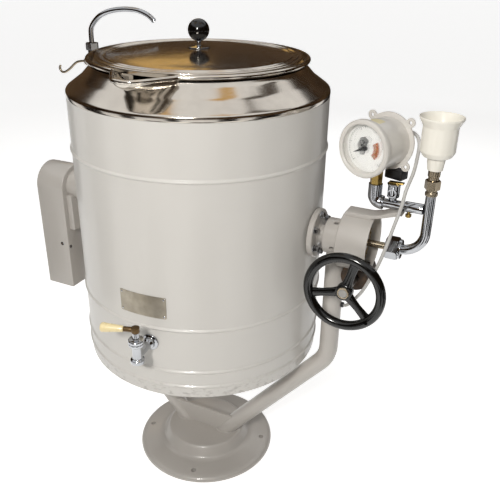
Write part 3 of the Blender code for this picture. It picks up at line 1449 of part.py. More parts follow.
def build_trunnion(name, side):
    """Flanged hollow trunnion with its ring of bolts, running in its bush."""
    inner = JACKET_R + GAP
    end = SHAFT_END_X if side > 0 else -COVER_INNER_X + 0.012
    profile = [
        (SHAFT_R, end),
        (SHAFT_R, FLANGE_X + FLANGE_THICK + 0.004),
        (SHAFT_R + 0.006, FLANGE_X + FLANGE_THICK),
        (FLANGE_R - 0.002, FLANGE_X + FLANGE_THICK),
        (FLANGE_R, FLANGE_X + FLANGE_THICK - 0.002),
        (FLANGE_R, FLANGE_X),
        (HUB_R, FLANGE_X),
        (HUB_R, inner),
        (SHAFT_BORE_R, inner),
        (SHAFT_BORE_R, end),
    ]
    axis = "X" if side > 0 else "-X"
    trunnion = turned(name, profile, axis, on_trunnion(0.0), CASTING_STEPS)
    bolt_x = side * (FLANGE_X + FLANGE_THICK + BOLT_HEIGHT / 2 - 0.0005)
    for i in range(FLANGE_BOLTS):
        angle = 2 * math.pi * (i + 0.5) / FLANGE_BOLTS
        y = FLANGE_BOLT_CIRCLE_R * math.cos(angle)
        z = TRUNNION_Z + FLANGE_BOLT_CIRCLE_R * math.sin(angle)
        bolt = cylinder("%s_bolt_%d" % (name, i), BOLT_R, BOLT_HEIGHT, (bolt_x, y, z), axis, 6)
        join(trunnion, bolt)
    return paint(trunnion, "stand_enamel")


def build_steam_pipe():
    """Brass pipe that turns with the kettle inside the union nut."""
    start = JACKET_R + 0.004
    length = STEAM_PIPE_END_X - start
    tube = cylinder("steam_pipe", STEAM_PIPE_R, length, on_trunnion(start + length / 2), "X", 18)
    cut(tube, cylinder("steam_pipe_bore", STEAM_PIPE_R - 0.0015, length + 0.02,
                       on_trunnion(start + length / 2), "X", 18))
    return paint(tube, "brass")


def build_nameplate():
    """Bare plate that follows the casing's curve."""
    angle = math.radians(PLATE_ANGLE)
    seat = CASING_R + GAP
    height = PLATE_Z[1] - PLATE_Z[0]
    band = turned("nameplate", [
        (seat + PLATE_THICK, PLATE_Z[1]),
        (seat + PLATE_THICK, PLATE_Z[0]),
        (seat, PLATE_Z[0]),
        (seat, PLATE_Z[1]),
    ], turn=(0.0, 0.0, 0.0), steps=STEPS)
    place = (math.sin(angle) * CASING_R, -math.cos(angle) * CASING_R, PLATE_Z[0] + height / 2)
    window = box("nameplate_window", (PLATE_WIDTH, 0.08, height * 2), place, turn=(0.0, 0.0, angle))
    keep_inside(band, window)
    return paint(band, "nickel_plate")


def tap_place(reach, z):
    angle = math.radians(TAP_ANGLE)
    distance = CASING_R + GAP + reach
    return (math.sin(angle) * distance, -math.cos(angle) * distance, z)


def build_level_tap():
    """Level tap: rosette on the casing, plug body with its spout, and the lever with a cream handle."""
    turn = (math.radians(90), 0.0, math.radians(TAP_ANGLE))
    body = turned("level_tap_body", [
        (0.0, TAP_REACH),
        (0.0085, TAP_REACH),
        (0.0085, 0.016),
        (0.0125, 0.012),
        (0.0125, 0.006),
        (0.0185, 0.004),
        (0.0185, -0.004),
        (0.0, -0.004),
    ], place=tap_place(0.0, TAP_Z), steps=SMALL_STEPS, turn=turn)
    casing = cylinder("tap_casing_clear", CASING_R + GAP, 0.1, (0.0, 0.0, TAP_Z), sides=STEPS)
    column = turned("tap_column", [
        (0.0, TAP_TOP),
        (0.0070, TAP_TOP),
        (0.0070, 0.0435),
        (0.0150, 0.0425),
        (0.0165, 0.0405),
        (0.0165, 0.0290),
        (0.0150, 0.0270),
        (TAP_PLUG_R, 0.0250),
        (TAP_PLUG_R, -0.0030),
        (0.0148, -0.0060),
        (0.0148, -0.0140),
        (0.0, -0.0140),
    ], place=tap_place(TAP_REACH, TAP_Z), steps=SMALL_STEPS)
    mouth = cylinder("tap_mouth", 0.0085, 0.04, tap_place(TAP_REACH, TAP_Z - 0.026), sides=12)
    cut(body, casing)
    join(body, column)
    cut(body, mouth)
    pivot = Vector(tap_place(TAP_REACH, TAP_Z + TAP_TOP + GAP + 0.006))
    swing = math.radians(TAP_LEVER_TURN)
    along = Vector((-math.cos(swing), -math.sin(swing), 0.0))
    ferrule = [tuple(pivot), tuple(pivot + along * TAP_LEVER_REACH)]
    lever = as_mesh(pipe("level_tap_lever", ferrule, 0.0055, resolution=3))
    hub = cylinder("tap_lever_hub", 0.0085, 0.012, tuple(pivot), sides=SMALL_STEPS)
    join(lever, hub)
    grip_start = pivot + along * (TAP_LEVER_REACH + GAP)
    grip = turned("level_tap_handle", [
        (0.0, 0.0480),
        (0.0075, 0.0475),
        (0.0100, 0.0450),
        (0.0100, 0.0410),
        (0.0082, 0.0220),
        (0.0065, 0.0),
        (0.0, 0.0),
    ], place=tuple(grip_start), steps=16, turn=(0.0, math.radians(-90), swing))
    return [
        paint(body, "chrome_plate"),
        paint(lever, "bronze"),
        paint(grip, "cream_plastic"),
    ]


def build_lid():
    """Domed lid with two pressed rings and a locating skirt, its stem on a round base, and the ball knob."""
    seat = LEDGE_Z + VESSEL_WALL + GAP
    flat = seat + 0.0125
    crown = flat + LID_RISE
    inner, outer = LID_RING_RADII
    top = [
        (0.0, crown),
        (0.100, crown - 0.0040),
        (0.170, crown - 0.0105),
        (inner - 0.003, flat),
        (inner, flat + 0.0020),
        (inner + 0.003, flat),
        (outer - 0.003, flat),
        (outer, flat + 0.0020),
        (outer + 0.003, flat),
        (LID_R - 0.0015, flat),
        (LID_R, flat - 0.0012),
    ]
    under = [
        (LID_R, flat - 0.0030),
        (outer - 0.0015, flat - 0.0030),
        (outer - 0.0015, seat),
        (outer - 0.0035, seat),
        (outer - 0.0035, flat - 0.0025),
        (inner - 0.003, flat - LID_SHEET),
        (0.170, crown - 0.0105 - LID_SHEET),
        (0.100, crown - 0.0040 - LID_SHEET),
        (0.0, crown - LID_SHEET),
    ]
    lid = turned("lid", top + under)
    base = crown + GAP
    knob_foot = KNOB_Z - KNOB_R * math.sin(math.radians(KNOB_FOOT_ANGLE))
    stem = turned("lid_stem", [
        (0.0, knob_foot - GAP),
        (STEM_R + 0.002, knob_foot - GAP),
        (STEM_R, knob_foot - 0.0015),
        (STEM_R, base + 0.0035),
        (0.0120, base + 0.0022),
        (KNOB_BASE_R, base + 0.0014),
        (KNOB_BASE_R, base),
        (0.0, base),
    ], steps=SMALL_STEPS * 2)
    round_side = arc((0.0, KNOB_Z), KNOB_R, 90.0, -KNOB_FOOT_ANGLE, 11)
    knob = turned("lid_knob", [(0.0, KNOB_Z + KNOB_R)] + round_side[1:] + [(0.0, knob_foot)], steps=SMALL_STEPS)
    return [paint(lid, "polished_stainless"), paint(stem, "chrome_plate"), paint(knob, "black_bakelite")]


def build_stand():
    """The fixed pieces."""
    build_pedestal()
    right_seat = housing_envelope("right_seat", GAP)
    left_seat = cylinder("left_seat", COLLAR_R + GAP, 0.2, on_trunnion(-ARM_X), "X", CASTING_STEPS)
    build_arm("fork_arm_right", 1, [right_seat])
    build_arm("fork_arm_left", -1, [left_seat])
    build_gusset()
    build_gear_housing()
    build_bush("bush_right", 1)
    build_bush("bush_left", -1)
    build_worm_case()
    build_bracket()
    build_steam_line()
    build_funnel()
    build_cable()
    build_left_bearing()
    build_left_cover()
    build_terminal_block()


def build_kettle():
    """The pieces that tilt together about the trunnion axis."""
    pieces = build_casing() + [build_shoulder(), build_vessel()] + build_jacket()
    pieces += [
        build_trunnion("trunnion_right", 1),
        build_trunnion("trunnion_left", -1),
        build_steam_pipe(),
        build_worm_wheel(),
        build_nameplate(),
    ]
    tap_body, tap_lever, tap_handle = build_level_tap()
    lid = build_lid()
    hang_on("kettle_axis", on_trunnion(0.0), pieces + [tap_body])
    hang_on("tap_axis", tap_place(TAP_REACH, TAP_Z), [tap_lever, tap_handle])
    hang_on("lid_axis", (0.0, 0.0, RIM_Z), lid)


def build_moving_fittings():
    """Handwheel, gauge pointer, valve lever, air cock and the faucet's moving pieces."""
    hang_on("handwheel_axis", (WHEEL_X, HANDWHEEL_Y, WORM_Z), [build_worm()] + build_handwheel())
    gauge = build_gauge()
    pointer = [piece for piece in gauge if piece.name == "gauge_pointer"]
    hang_on("gauge_axis", gauge_place(0.0), pointer)
    valve, lever, cock = build_valves()
    hang_on("safety_axis", (SAFETY_X - 0.010, 0.0, SAFETY_TOP_Z), [lever])
    hang_on("cock_axis", cock.location, [cock])
    line = build_water_line()
    hang_on("faucet_axis", (RISER_X, RISER_Y, FAUCET_NUT_Z), [line[3]])
    plug_z = (RISER_TOP_Z + GAP + FAUCET_NUT_Z) / 2
    hang_on("faucet_plug_axis", (RISER_X, RISER_Y, plug_z), [line[4]])


clear_scene()
PARTS = new_collection("electric_cooking_kettle")
CUTTERS = new_collection("cutters")
build_stand()
build_kettle()
build_moving_fittings()
bpy.context.view_layer.update()
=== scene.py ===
"""Looks of an electric cooking kettle: a jacketed boiling pan that tilts in a fork-shaped pedestal stand."""
import json
import math

import bmesh
import bpy
from bpy.props import FloatProperty, FloatVectorProperty, IntProperty, PointerProperty
from mathutils import Matrix, Vector


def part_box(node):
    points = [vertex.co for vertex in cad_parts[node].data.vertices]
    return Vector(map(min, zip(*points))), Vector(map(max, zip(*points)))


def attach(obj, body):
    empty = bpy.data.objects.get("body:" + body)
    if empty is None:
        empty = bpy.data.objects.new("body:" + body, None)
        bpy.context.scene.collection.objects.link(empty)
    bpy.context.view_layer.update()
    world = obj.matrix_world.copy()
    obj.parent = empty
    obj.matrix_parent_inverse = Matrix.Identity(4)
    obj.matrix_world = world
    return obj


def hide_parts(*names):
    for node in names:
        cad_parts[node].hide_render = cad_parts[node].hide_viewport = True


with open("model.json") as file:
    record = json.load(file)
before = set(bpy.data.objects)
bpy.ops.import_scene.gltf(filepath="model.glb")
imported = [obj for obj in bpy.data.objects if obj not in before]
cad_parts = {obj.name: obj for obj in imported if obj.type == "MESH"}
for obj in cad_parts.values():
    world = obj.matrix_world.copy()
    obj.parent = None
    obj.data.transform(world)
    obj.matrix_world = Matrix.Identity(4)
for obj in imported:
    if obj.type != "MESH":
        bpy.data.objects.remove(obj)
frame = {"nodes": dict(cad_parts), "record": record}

bl_info = {
    "name": "Electric cooking kettle",
    "version": (1, 0, 0),
    "blender": (4, 5, 0),
    "location": "3D View > Sidebar > Kettle",
    "description": "Builds the visible surfaces of a tilting cooking kettle over its solid model",
    "category": "Object",
}

BOX = {name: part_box(name) for name in frame["nodes"]}
JOINT = {joint["name"]: joint for joint in frame["record"]["behaviour"]["joints"]}
AXIS = {name: Vector(joint.get("pos_m", (0.0, 0.0, 0.0))) for name, joint in JOINT.items()}
SLOT = {part["node"]: part["material_slot"] for part in frame["record"]["subparts"]}
TRUNNION_Z = AXIS["kettle_tilt"].z
FINE = 96
ROUND = 32
FINISH = {}
OWN_FINISH = {"steam_pipe": "warm_nickel"}
RIGHT = (1.0, 0.0, 0.0)
FRONT = (0.0, -1.0, 0.0)
BACK = (0.0, 1.0, 0.0)


def linear(code):
    """Turn an sRGB hex colour into the linear values that a shader takes."""
    values = [int(code[i:i + 2], 16) / 255 for i in (1, 3, 5)]
    return tuple(v / 12.92 if v <= 0.04045 else ((v + 0.055) / 1.055) ** 2.4 for v in values)


def metres(name, description, default):
    return FloatProperty(name=name, description=description, default=default, unit="LENGTH", precision=4)


def tint(name, description, code):
    return FloatVectorProperty(name=name, description=description, default=linear(code), subtype="COLOR",
                               min=0.0, max=1.0, size=3)


class KettleFinishes(bpy.types.PropertyGroup):
    casing: tint("Casing", "Enamel of the casing", "#D2CFCA")
    stand: tint("Stand", "Enamel of the stand and the covers", "#BDB8B2")
    stainless: tint("Stainless", "Polished sheet of the lid, rim and shoulder", "#CFC8BE")
    funnel: tint("Funnel", "Enamel of the filling funnel", "#F7F3E8")
    handle: tint("Handle", "Moulded handle of the level tap", "#EBD9A8")


class KettleShell(bpy.types.PropertyGroup):
    radius: metres("Casing radius", "Outside radius of the casing", 0.280)
    bead_proud: metres("Bead height", "How far a pressed bead stands out", 0.0032)
    bead_half: metres("Bead half width", "Half the width of a pressed bead", 0.0050)
    strip: metres("Strip height", "Height of the bright strip under the shoulder", 0.011)
    rim_radius: metres("Rim radius", "Radius of the middle of the rolled rim", 0.2305)
    rim_bead: metres("Rim bead", "Radius of the rolled edge", 0.0048)
    rim_height: metres("Rim height", "Height of the middle of the rolled rim", 1.0325)
    ledge_height: metres("Ledge height", "Height of the ledge that the lid stands on", 1.023)
    ledge_radius: metres("Ledge radius", "Outer radius of the ledge", 0.2215)
    bore: metres("Vessel bore", "Inside radius of the vessel", 0.200)
    sheet: metres("Sheet", "Thickness of the vessel's wall", 0.0020)
    spout_reach: metres("Spout reach", "Distance of the spout's tip from the axis", 0.3000)
    spout_depth: metres("Spout depth", "Depth of the pouring trough", 0.029)


class KettleLid(bpy.types.PropertyGroup):
    radius: metres("Radius", "Outside radius of the lid", 0.2183)
    rise: metres("Rise", "Height of the dome above the lid's edge", 0.0137)
    inner_ring: metres("Inner ring", "Radius of the inner pressed ring", 0.1956)
    outer_ring: metres("Outer ring", "Radius of the outer pressed ring", 0.2075)
    knob: metres("Knob", "Radius of the ball knob", 0.0225)
    base: metres("Knob base", "Radius of the plate under the stem", 0.0245)


class KettleStand(bpy.types.PropertyGroup):
    base_radius: metres("Base radius", "Radius of the floor flange", 0.180)
    boss_radius: metres("Boss radius", "Radius of the boss's top", 0.098)
    arm_radius: metres("Arm radius", "Outside radius of the fork's tube", 0.0215)
    bend_radius: metres("Bend radius", "Radius of the fork's bend", 0.080)
    bolt_holes: IntProperty(name="Anchor holes", description="Number of holes in the flange", default=4,
                            min=0)


class KettleDrive(bpy.types.PropertyGroup):
    drum_radius: metres("Drum radius", "Outside radius of the gear housing", 0.062)
    collar_radius: metres("Collar radius", "Outside radius of the bearing collar", 0.039)
    flange_radius: metres("Flange radius", "Radius of the trunnion's flange", 0.054)
    bolt_circle: metres("Bolt circle", "Radius of the flange's ring of bolts", 0.043)
    bolts: IntProperty(name="Bolts", description="Number of bolts on a flange", default=6, min=3)
    wheel_radius: metres("Handwheel radius", "Outside radius of the handwheel", 0.0875)
    wheel_rim: metres("Rim thickness", "Thickness of the handwheel's rim", 0.0205)


class KettleGauge(bpy.types.PropertyGroup):
    bezel: metres("Bezel radius", "Outside radius of the bezel", 0.0567)
    opening: metres("Opening radius", "Radius of the bezel's opening", 0.0472)
    case: metres("Case radius", "Outside radius of the case", 0.050)
    depth: metres("Depth", "Depth of the gauge from bezel to flange", 0.0927)
    dial: metres("Dial depth", "Depth of the dial behind the bezel's front", 0.0175)
    marks: IntProperty(name="Scale marks", description="Number of marks on the scale", default=41, min=2)


class KettleStage(bpy.types.PropertyGroup):
    lens: FloatProperty(name="Lens", description="Focal length of the camera", default=46.18, min=1.0,
                        subtype="DISTANCE_CAMERA")
    camera: FloatVectorProperty(name="Camera", description="Place of the camera", size=3,
                                default=(0.6996, -1.2118, 1.2616), subtype="TRANSLATION", unit="LENGTH")
    aim: FloatVectorProperty(name="Aim", description="Direction of the camera", size=3,
                             default=(-0.3845, 0.8119, -0.4394), subtype="DIRECTION")
    roll: FloatProperty(name="Roll", description="Turn of the camera about its aim",
                        default=math.radians(0.883), subtype="ANGLE")
    floor: tint("Floor", "Colour of the floor", "#F4F3F1")
    lift: FloatProperty(name="Floor lift", description="Light that only the view adds to the floor",
                        default=0.64, min=0.0)


# Finishes.


def add_node(tree, kind, settings=None, inputs=None):
    """Add a node with its settings, and fill or link its inputs."""
    made = tree.nodes.new(kind)
    for name, value in (settings or {}).items():
        setattr(made, name, value)
    for name, value in (inputs or {}).items():
        if isinstance(value, bpy.types.NodeSocket):
            tree.links.new(value, made.inputs[name])
        else:
            made.inputs[name].default_value = value
    return made


def start_finish(name, colour, values):
    """A new material with plain values on its shader. Returns the material, its tree and its shader."""
    material = bpy.data.materials.new(name)
    material.use_nodes = True
    tree = material.node_tree
    shader = tree.nodes["Principled BSDF"]
    shader.inputs["Base Color"].default_value = (*colour, 1.0)
    for socket, value in values.items():
        shader.inputs[socket].default_value = value
    return material, tree, shader


def mottled(tree, size_mm, low, high, detail=3.0, stretch=(1.0, 1.0, 1.0)):
    """Noise on object coordinates with a grain of a real size, between two plain values."""
    place = add_node(tree, "ShaderNodeTexCoord").outputs["Object"]
    turned_place = add_node(tree, "ShaderNodeMapping", None, {"Vector": place, "Scale": stretch})
    noise = add_node(tree, "ShaderNodeTexNoise", None,
                     {"Vector": turned_place.outputs["Vector"], "Scale": 1000.0 / size_mm, "Detail": detail})
    span = add_node(tree, "ShaderNodeMapRange", None,
                    {"Value": noise.outputs["Fac"], "From Min": 0.3, "From Max": 0.7, "To Min": low,
                     "To Max": high})
    return span.outputs["Result"]


def shade_between(tree, shader, factor, first, second):
    """Vary a shader's colour between two colours."""
    mix = add_node(tree, "ShaderNodeMix", {"data_type": "RGBA"})
    tree.links.new(factor, mix.inputs[0])
    mix.inputs[6].default_value = (*first, 1.0)
    mix.inputs[7].default_value = (*second, 1.0)
    tree.links.new(mix.outputs[2], shader.inputs["Base Color"])


def ripple(tree, shader, height, depth_mm):
    """Bump the surface by a height pattern of a real depth."""
    bump = add_node(tree, "ShaderNodeBump", None, {"Height": height, "Distance": depth_mm / 1000.0,
                                                   "Strength": 0.6})
    tree.links.new(bump.outputs["Normal"], shader.inputs["Normal"])


def darker(colour, share):
    return tuple(value * share for value in colour)


def enamel(name, colour, roughness, worn=0.95, gloss=0.3, scuff_top=0.0):
    """Baked enamel: an even colour under a soft gloss, which stains and wear make uneven."""
    material, tree, shader = start_finish(name, colour, {"Coat Weight": gloss, "Coat Roughness": 0.08,
                                                         "IOR": 1.5})
    shade_between(tree, shader, mottled(tree, 220.0, 0.0, 1.0, 2.0), colour, darker(colour, worn))
    tree.links.new(mottled(tree, 60.0, roughness - 0.02, roughness + 0.03), shader.inputs["Roughness"])
    if scuff_top > 0.0:
        scuff(tree, shader, scuff_top)
    return material


def scuff(tree, shader, top):
    """Chip and stain the paint below a height, where feet and buckets knock it."""
    place = add_node(tree, "ShaderNodeTexCoord").outputs["Object"]
    height = add_node(tree, "ShaderNodeSeparateXYZ", None, {"Vector": place}).outputs["Z"]
    low = add_node(tree, "ShaderNodeMapRange", None, {"Value": height, "From Min": top,
                                                      "From Max": top - 0.030})
    chips = mottled(tree, 14.0, -2.6, 2.0, 7.0, (1.0, 1.0, 2.0))
    amount = maths(tree, "MULTIPLY", low.outputs["Result"], chips)
    mix = add_node(tree, "ShaderNodeMix", {"data_type": "RGBA", "clamp_factor": True})
    tree.links.new(maths(tree, "MULTIPLY", amount, 0.22), mix.inputs[0])
    tree.links.new(shader.inputs["Base Color"].links[0].from_socket, mix.inputs[6])
    mix.inputs[7].default_value = (*linear("#6B6058"), 1.0)
    tree.links.new(mix.outputs[2], shader.inputs["Base Color"])


def metal(name, colour, roughness, grain_mm=30.0, stretch=(1.0, 1.0, 1.0), tarnish=0.85, spread=0.05,
          wave=0.0):
    """Bare or plated metal: its colour is its reflection, broken by a grain of fine scratches."""
    material, tree, shader = start_finish(name, colour, {"Metallic": 1.0})
    shade_between(tree, shader, mottled(tree, grain_mm * 3, 0.0, 1.0), colour, darker(colour, tarnish))
    grain = mottled(tree, grain_mm, max(roughness - spread, 0.02), roughness + spread, 4.0, stretch)
    tree.links.new(grain, shader.inputs["Roughness"])
    if wave > 0.0:
        ripple(tree, shader, mottled(tree, 90.0, 0.0, 1.0, 1.0), wave)
    return material


def moulded(name, colour, roughness, coat=0.0, grain_mm=8.0):
    """Moulded resin or rubber: one even colour, with a fine uneven sheen from the mould."""
    material, tree, shader = start_finish(name, colour, {"Coat Weight": coat, "Coat Roughness": 0.05,
                                                         "IOR": 1.5})
    tree.links.new(mottled(tree, grain_mm, roughness - 0.04, roughness + 0.06), shader.inputs["Roughness"])
    return material


def stained_iron(name, colour):
    """Raw casting under a film of old oil: nearly black, with brown stains and a wet gloss in places."""
    material, tree, shader = start_finish(name, colour, {"Metallic": 0.4, "IOR": 1.5})
    shade_between(tree, shader, mottled(tree, 14.0, 0.0, 1.0, 5.0), colour, linear("#5A4634"))
    tree.links.new(mottled(tree, 9.0, 0.28, 0.75, 4.0), shader.inputs["Roughness"])
    ripple(tree, shader, mottled(tree, 2.5, 0.0, 1.0), 0.25)
    return material


def clear_glass(name):
    """Float glass: colourless and smooth, and thin enough to let most light straight through."""
    values = {"Roughness": 0.02, "IOR": 1.45, "Transmission Weight": 1.0, "Alpha": 0.25}
    return start_finish(name, (0.96, 0.98, 0.98), values)[0]


def wool(name):
    """Mineral wool: a dull yellow-brown mat of fibres."""
    material, tree, shader = start_finish(name, linear("#A08A58"), {"Roughness": 0.95})
    ripple(tree, shader, mottled(tree, 3.0, 0.0, 1.0, 6.0), 1.0)
    return material


def make_finishes(props):
    """One material for each finish of the kettle."""
    brushed_round = (1.0, 1.0, 14.0)
    FINISH.update({
        "casing_enamel": enamel("grey_stove_enamel_casing", tuple(props.casing), 0.36, 0.98, 0.20, 0.395),
        "stand_enamel": enamel("grey_stove_enamel_castings", tuple(props.stand), 0.33, 0.90),
        "gauge_enamel": enamel("grey_lacquered_pressing", linear("#D5D1CB"), 0.32, 0.95),
        "cream_enamel": enamel("cream_vitreous_enamel", tuple(props.funnel), 0.22, 0.95),
        "white_dial": enamel("white_printed_tinplate", linear("#F4F3F0"), 0.45, 0.98),
        "label": enamel("cream_paper_label", linear("#DDD3AE"), 0.55, 0.92),
        "polished_stainless": metal("polished_stainless_sheet", tuple(props.stainless), 0.16, 12.0,
                                    brushed_round, 0.90, 0.03, 0.8),
        "mill_stainless": metal("mill_finish_stainless", linear("#B9B9B8"), 0.32),
        "chrome_plate": metal("bright_chrome_plate", linear("#B4B6BA"), 0.09, 25.0),
        "brass": metal("dull_machined_brass", linear("#B79A5A"), 0.28, 15.0),
        "bronze": metal("dark_bronze", linear("#6A563C"), 0.38, 15.0),
        "warm_nickel": metal("old_nickel_plate_over_brass", linear("#A89B86"), 0.24, 12.0, (1.0, 1.0, 1.0),
                             0.75),
        "bare_steel": metal("bare_turned_steel", linear("#9D9B98"), 0.36, 10.0),
        "nickel_plate": metal("etched_nickel_plate", linear("#B3AB9C"), 0.42, 12.0, (1.0, 1.0, 1.0), 0.72,
                              0.12),
        "dark_iron": stained_iron("oily_cast_iron", linear("#37302B")),
        "black_bakelite": moulded("black_bakelite", linear("#040404"), 0.17, 0.10),
        "black_plastic": moulded("black_moulded_plastic", linear("#17171A"), 0.42),
        "orange_resin": moulded("brown_phenolic_board", linear("#A4552A"), 0.45),
        "grey_cable": moulded("light_grey_cable_sheath", linear("#C4C2BF"), 0.45),
        "cream_plastic": moulded("cream_moulded_handle", tuple(props.handle), 0.28, 0.3),
        "printed_black": moulded("black_printing_ink", linear("#1B1B1C"), 0.50),
        "block_plastic": moulded("grey_moulded_terminal_block", linear("#6C7784"), 0.45),
        "clear_glass": clear_glass("float_glass"),
        "mineral_wool": wool("mineral_wool_mat"),
    })


# Shapes.


def new_piece(name, mesh):
    obj = bpy.data.objects.new(name, mesh)
    bpy.context.scene.collection.objects.link(obj)
    return obj


def finished(name, shape):
    """Turn a bmesh into a piece."""
    mesh = bpy.data.meshes.new(name)
    shape.to_mesh(mesh)
    shape.free()
    return new_piece(name, mesh)


def smooth(mesh, angle=35.0):
    mesh.shade_smooth()
    mesh.set_sharp_from_angle(angle=math.radians(angle))


def at(x=0.0, y=0.0, z=0.0):
    """A move without a turn."""
    return Matrix.Translation((x, y, z))


def facing(place, normal):
    """A frame at a place whose Z axis is the normal and whose Y axis leans upwards."""
    z = Vector(normal).normalized()
    x = Vector((0.0, 0.0, 1.0)).cross(z)
    if x.length < 1e-6:
        x = Vector((1.0, 0.0, 0.0))
    x.normalize()
    y = z.cross(x)
    return Matrix([(x[i], y[i], z[i], place[i]) for i in range(3)] + [(0, 0, 0, 1)])


def moved(obj, matrix):
    """Put a piece in its place within its mesh, so that its object stays at the origin."""
    obj.data.transform(matrix)
    return obj


def rounded(points, radius, count=4):
    """Round the corners of a row of (radius, height) points."""
    if radius == 0.0:
        return points
    soft = [points[0]]
    for before, corner, after in zip(points, points[1:], points[2:]):
        a = Vector(before) - Vector(corner)
        b = Vector(after) - Vector(corner)
        if a.length < 1e-7 or b.length < 1e-7 or abs(a.angle(b, math.pi) - math.pi) < math.radians(9):
            soft.append(corner)
            continue
        start = Vector(corner) + a.normalized() * min(radius, a.length * 0.45)
        end = Vector(corner) + b.normalized() * min(radius, b.length * 0.45)
        for i in range(count + 1):
            t = i / count
            soft.append(tuple(start * (1 - t) ** 2 + Vector(corner) * (2 * t * (1 - t)) + end * t ** 2))
    return soft + [points[-1]]


def turned(name, profile, steps=FINE, soft=0.0008, matrix=None):
    """Turn a profile of (radius, height) points, given down its outer side, about Z."""
    closed = profile[0][0] > 0.0 or profile[-1][0] > 0.0
    points = rounded(profile + profile[:1], soft)[:-1] if closed else rounded(profile, soft)
    shape = bmesh.new()
    rows = []
    for radius, height in points:
        if radius < 1e-7:
            rows.append([shape.verts.new((0.0, 0.0, height))] * steps)
            continue
        angles = [2 * math.pi * i / steps for i in range(steps)]
        rows.append([shape.verts.new((radius * math.cos(a), radius * math.sin(a), height)) for a in angles])
    pairs = list(zip(rows, rows[1:])) + ([(rows[-1], rows[0])] if closed else [])
    for upper, lower in pairs:
        for i in range(steps):
            j = (i + 1) % steps
            corners = list(dict.fromkeys((upper[j], upper[i], lower[i], lower[j])))
            if len(corners) > 2:
                shape.faces.new(corners)
    bmesh.ops.remove_doubles(shape, verts=shape.verts, dist=0.000002)
    obj = finished(name, shape)
    smooth(obj.data)
    return moved(obj, matrix or Matrix())


def cleaned(obj, angle=35.0):
    """Apply a piece's modifiers or curve settings, and give it a plain welded mesh."""
    bpy.context.view_layer.update()
    evaluated = obj.evaluated_get(bpy.context.evaluated_depsgraph_get())
    mesh = bpy.data.meshes.new_from_object(evaluated)
    shape = bmesh.new()
    shape.from_mesh(mesh)
    bmesh.ops.remove_doubles(shape, verts=shape.verts, dist=0.000005)
    shape.to_mesh(mesh)
    shape.free()
    mesh.transform(obj.matrix_world)
    name = obj.name
    bpy.data.objects.remove(obj, do_unlink=True)
    mesh.materials.clear()
    smooth(mesh, angle)
    return new_piece(name, mesh)


def flowing(points, step):
    """A smooth curve through given points, read every step along it."""
    path = []
    last = len(points) - 1
    for i in range(last):
        before, start = Vector(points[max(i - 1, 0)]), Vector(points[i])
        end, after = Vector(points[i + 1]), Vector(points[min(i + 2, last)])
        pieces = max(1, round((end - start).length / step))
        for j in range(pieces):
            t = j / pieces
            path.append(0.5 * (2 * start + (end - before) * t
                               + (2 * before - 5 * start + 4 * end - after) * t ** 2
                               + (3 * start - before - 3 * end + after) * t ** 3))
    return path + [Vector(points[-1])]


def tube(name, points, radius, resolution=6):
    """A round bar along a row of points."""
    curve = bpy.data.curves.new(name, "CURVE")
    curve.dimensions = "3D"
    curve.bevel_depth = radius
    curve.bevel_resolution = resolution
    curve.use_fill_caps = True
    spline = curve.splines.new("POLY")
    spline.points.add(len(points) - 1)
    for point, place in zip(spline.points, points):
        point.co = (*place, 1.0)
    spline.use_smooth = True
    return cleaned(new_piece(name, curve), 50.0)


def prism(name, outline, thickness, matrix, bevel=0.0, holes=()):
    """A flat plate with rounded edges, from an outline of (x, y) points and its holes."""
    curve = bpy.data.curves.new(name, "CURVE")
    curve.dimensions = "2D"
    curve.fill_mode = "BOTH"
    curve.extrude = thickness / 2 - bevel
    curve.bevel_depth = bevel
    curve.bevel_resolution = 2
    curve.offset = -bevel
    for row in (outline,) + tuple(holes):
        spline = curve.splines.new("POLY")
        spline.points.add(len(row) - 1)
        for point, (x, y) in zip(spline.points, row):
            point.co = (x, y, 0.0, 1.0)
        spline.use_cyclic_u = True
    return moved(cleaned(new_piece(name, curve)), matrix)


def block(name, size, matrix, bevel=0.001):
    """A box with rounded edges."""
    shape = bmesh.new()
    bmesh.ops.create_cube(shape, size=1.0)
    bmesh.ops.scale(shape, vec=Vector(size), verts=shape.verts)
    obj = finished(name, shape)
    edges = obj.modifiers.new("edges", "BEVEL")
    edges.width = bevel
    edges.segments = 3
    return moved(cleaned(obj, 60.0), matrix)


def rod(name, radius, height, matrix, sides=ROUND, bevel=0.0006):
    """A round or many-sided bar that stands on its plane."""
    profile = [(0.0, height), (radius, height), (radius, 0.0), (0.0, 0.0)]
    return turned(name, profile, sides, bevel, matrix)


def nut(name, radius, height, matrix):
    """A hexagon with both ends turned to a chamfer."""
    hexagon = turned(name, [(0.0, height), (radius, height), (radius, 0.0), (0.0, 0.0)], 6, 0.0, matrix)
    edge = radius * 0.93
    dome = turned(name + "_turning", [(0.0, height), (edge, height), (radius, height - radius * 0.09),
                                      (radius, radius * 0.09), (edge, 0.0), (0.0, 0.0)], 48, 0.0, matrix)
    return cut_by(hexagon, [dome], "INTERSECT")


def cut_by(obj, tools, operation="DIFFERENCE"):
    """Cut, join or trim a piece with others, which are used up."""
    for tool in tools:
        step = obj.modifiers.new(tool.name, "BOOLEAN")
        step.operation = operation
        step.solver = "EXACT"
        step.object = tool
    result = cleaned(obj)
    for tool in tools:
        bpy.data.objects.remove(tool, do_unlink=True)
    return result


def merged(name, pieces):
    """Put several meshes of one finish into one piece."""
    shape = bmesh.new()
    for piece in pieces:
        shape.from_mesh(piece.data)
    for piece in pieces:
        bpy.data.objects.remove(piece, do_unlink=True)
    return finished(name, shape)


def dress(obj, body, slot, *nodes, finish=None):
    """Give a finished piece its material, its body and the solids that it stands for."""
    obj.data.materials.clear()
    obj.data.materials.append(FINISH[finish or slot])
    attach(obj, body)
    if nodes:
        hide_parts(*nodes)
    return obj


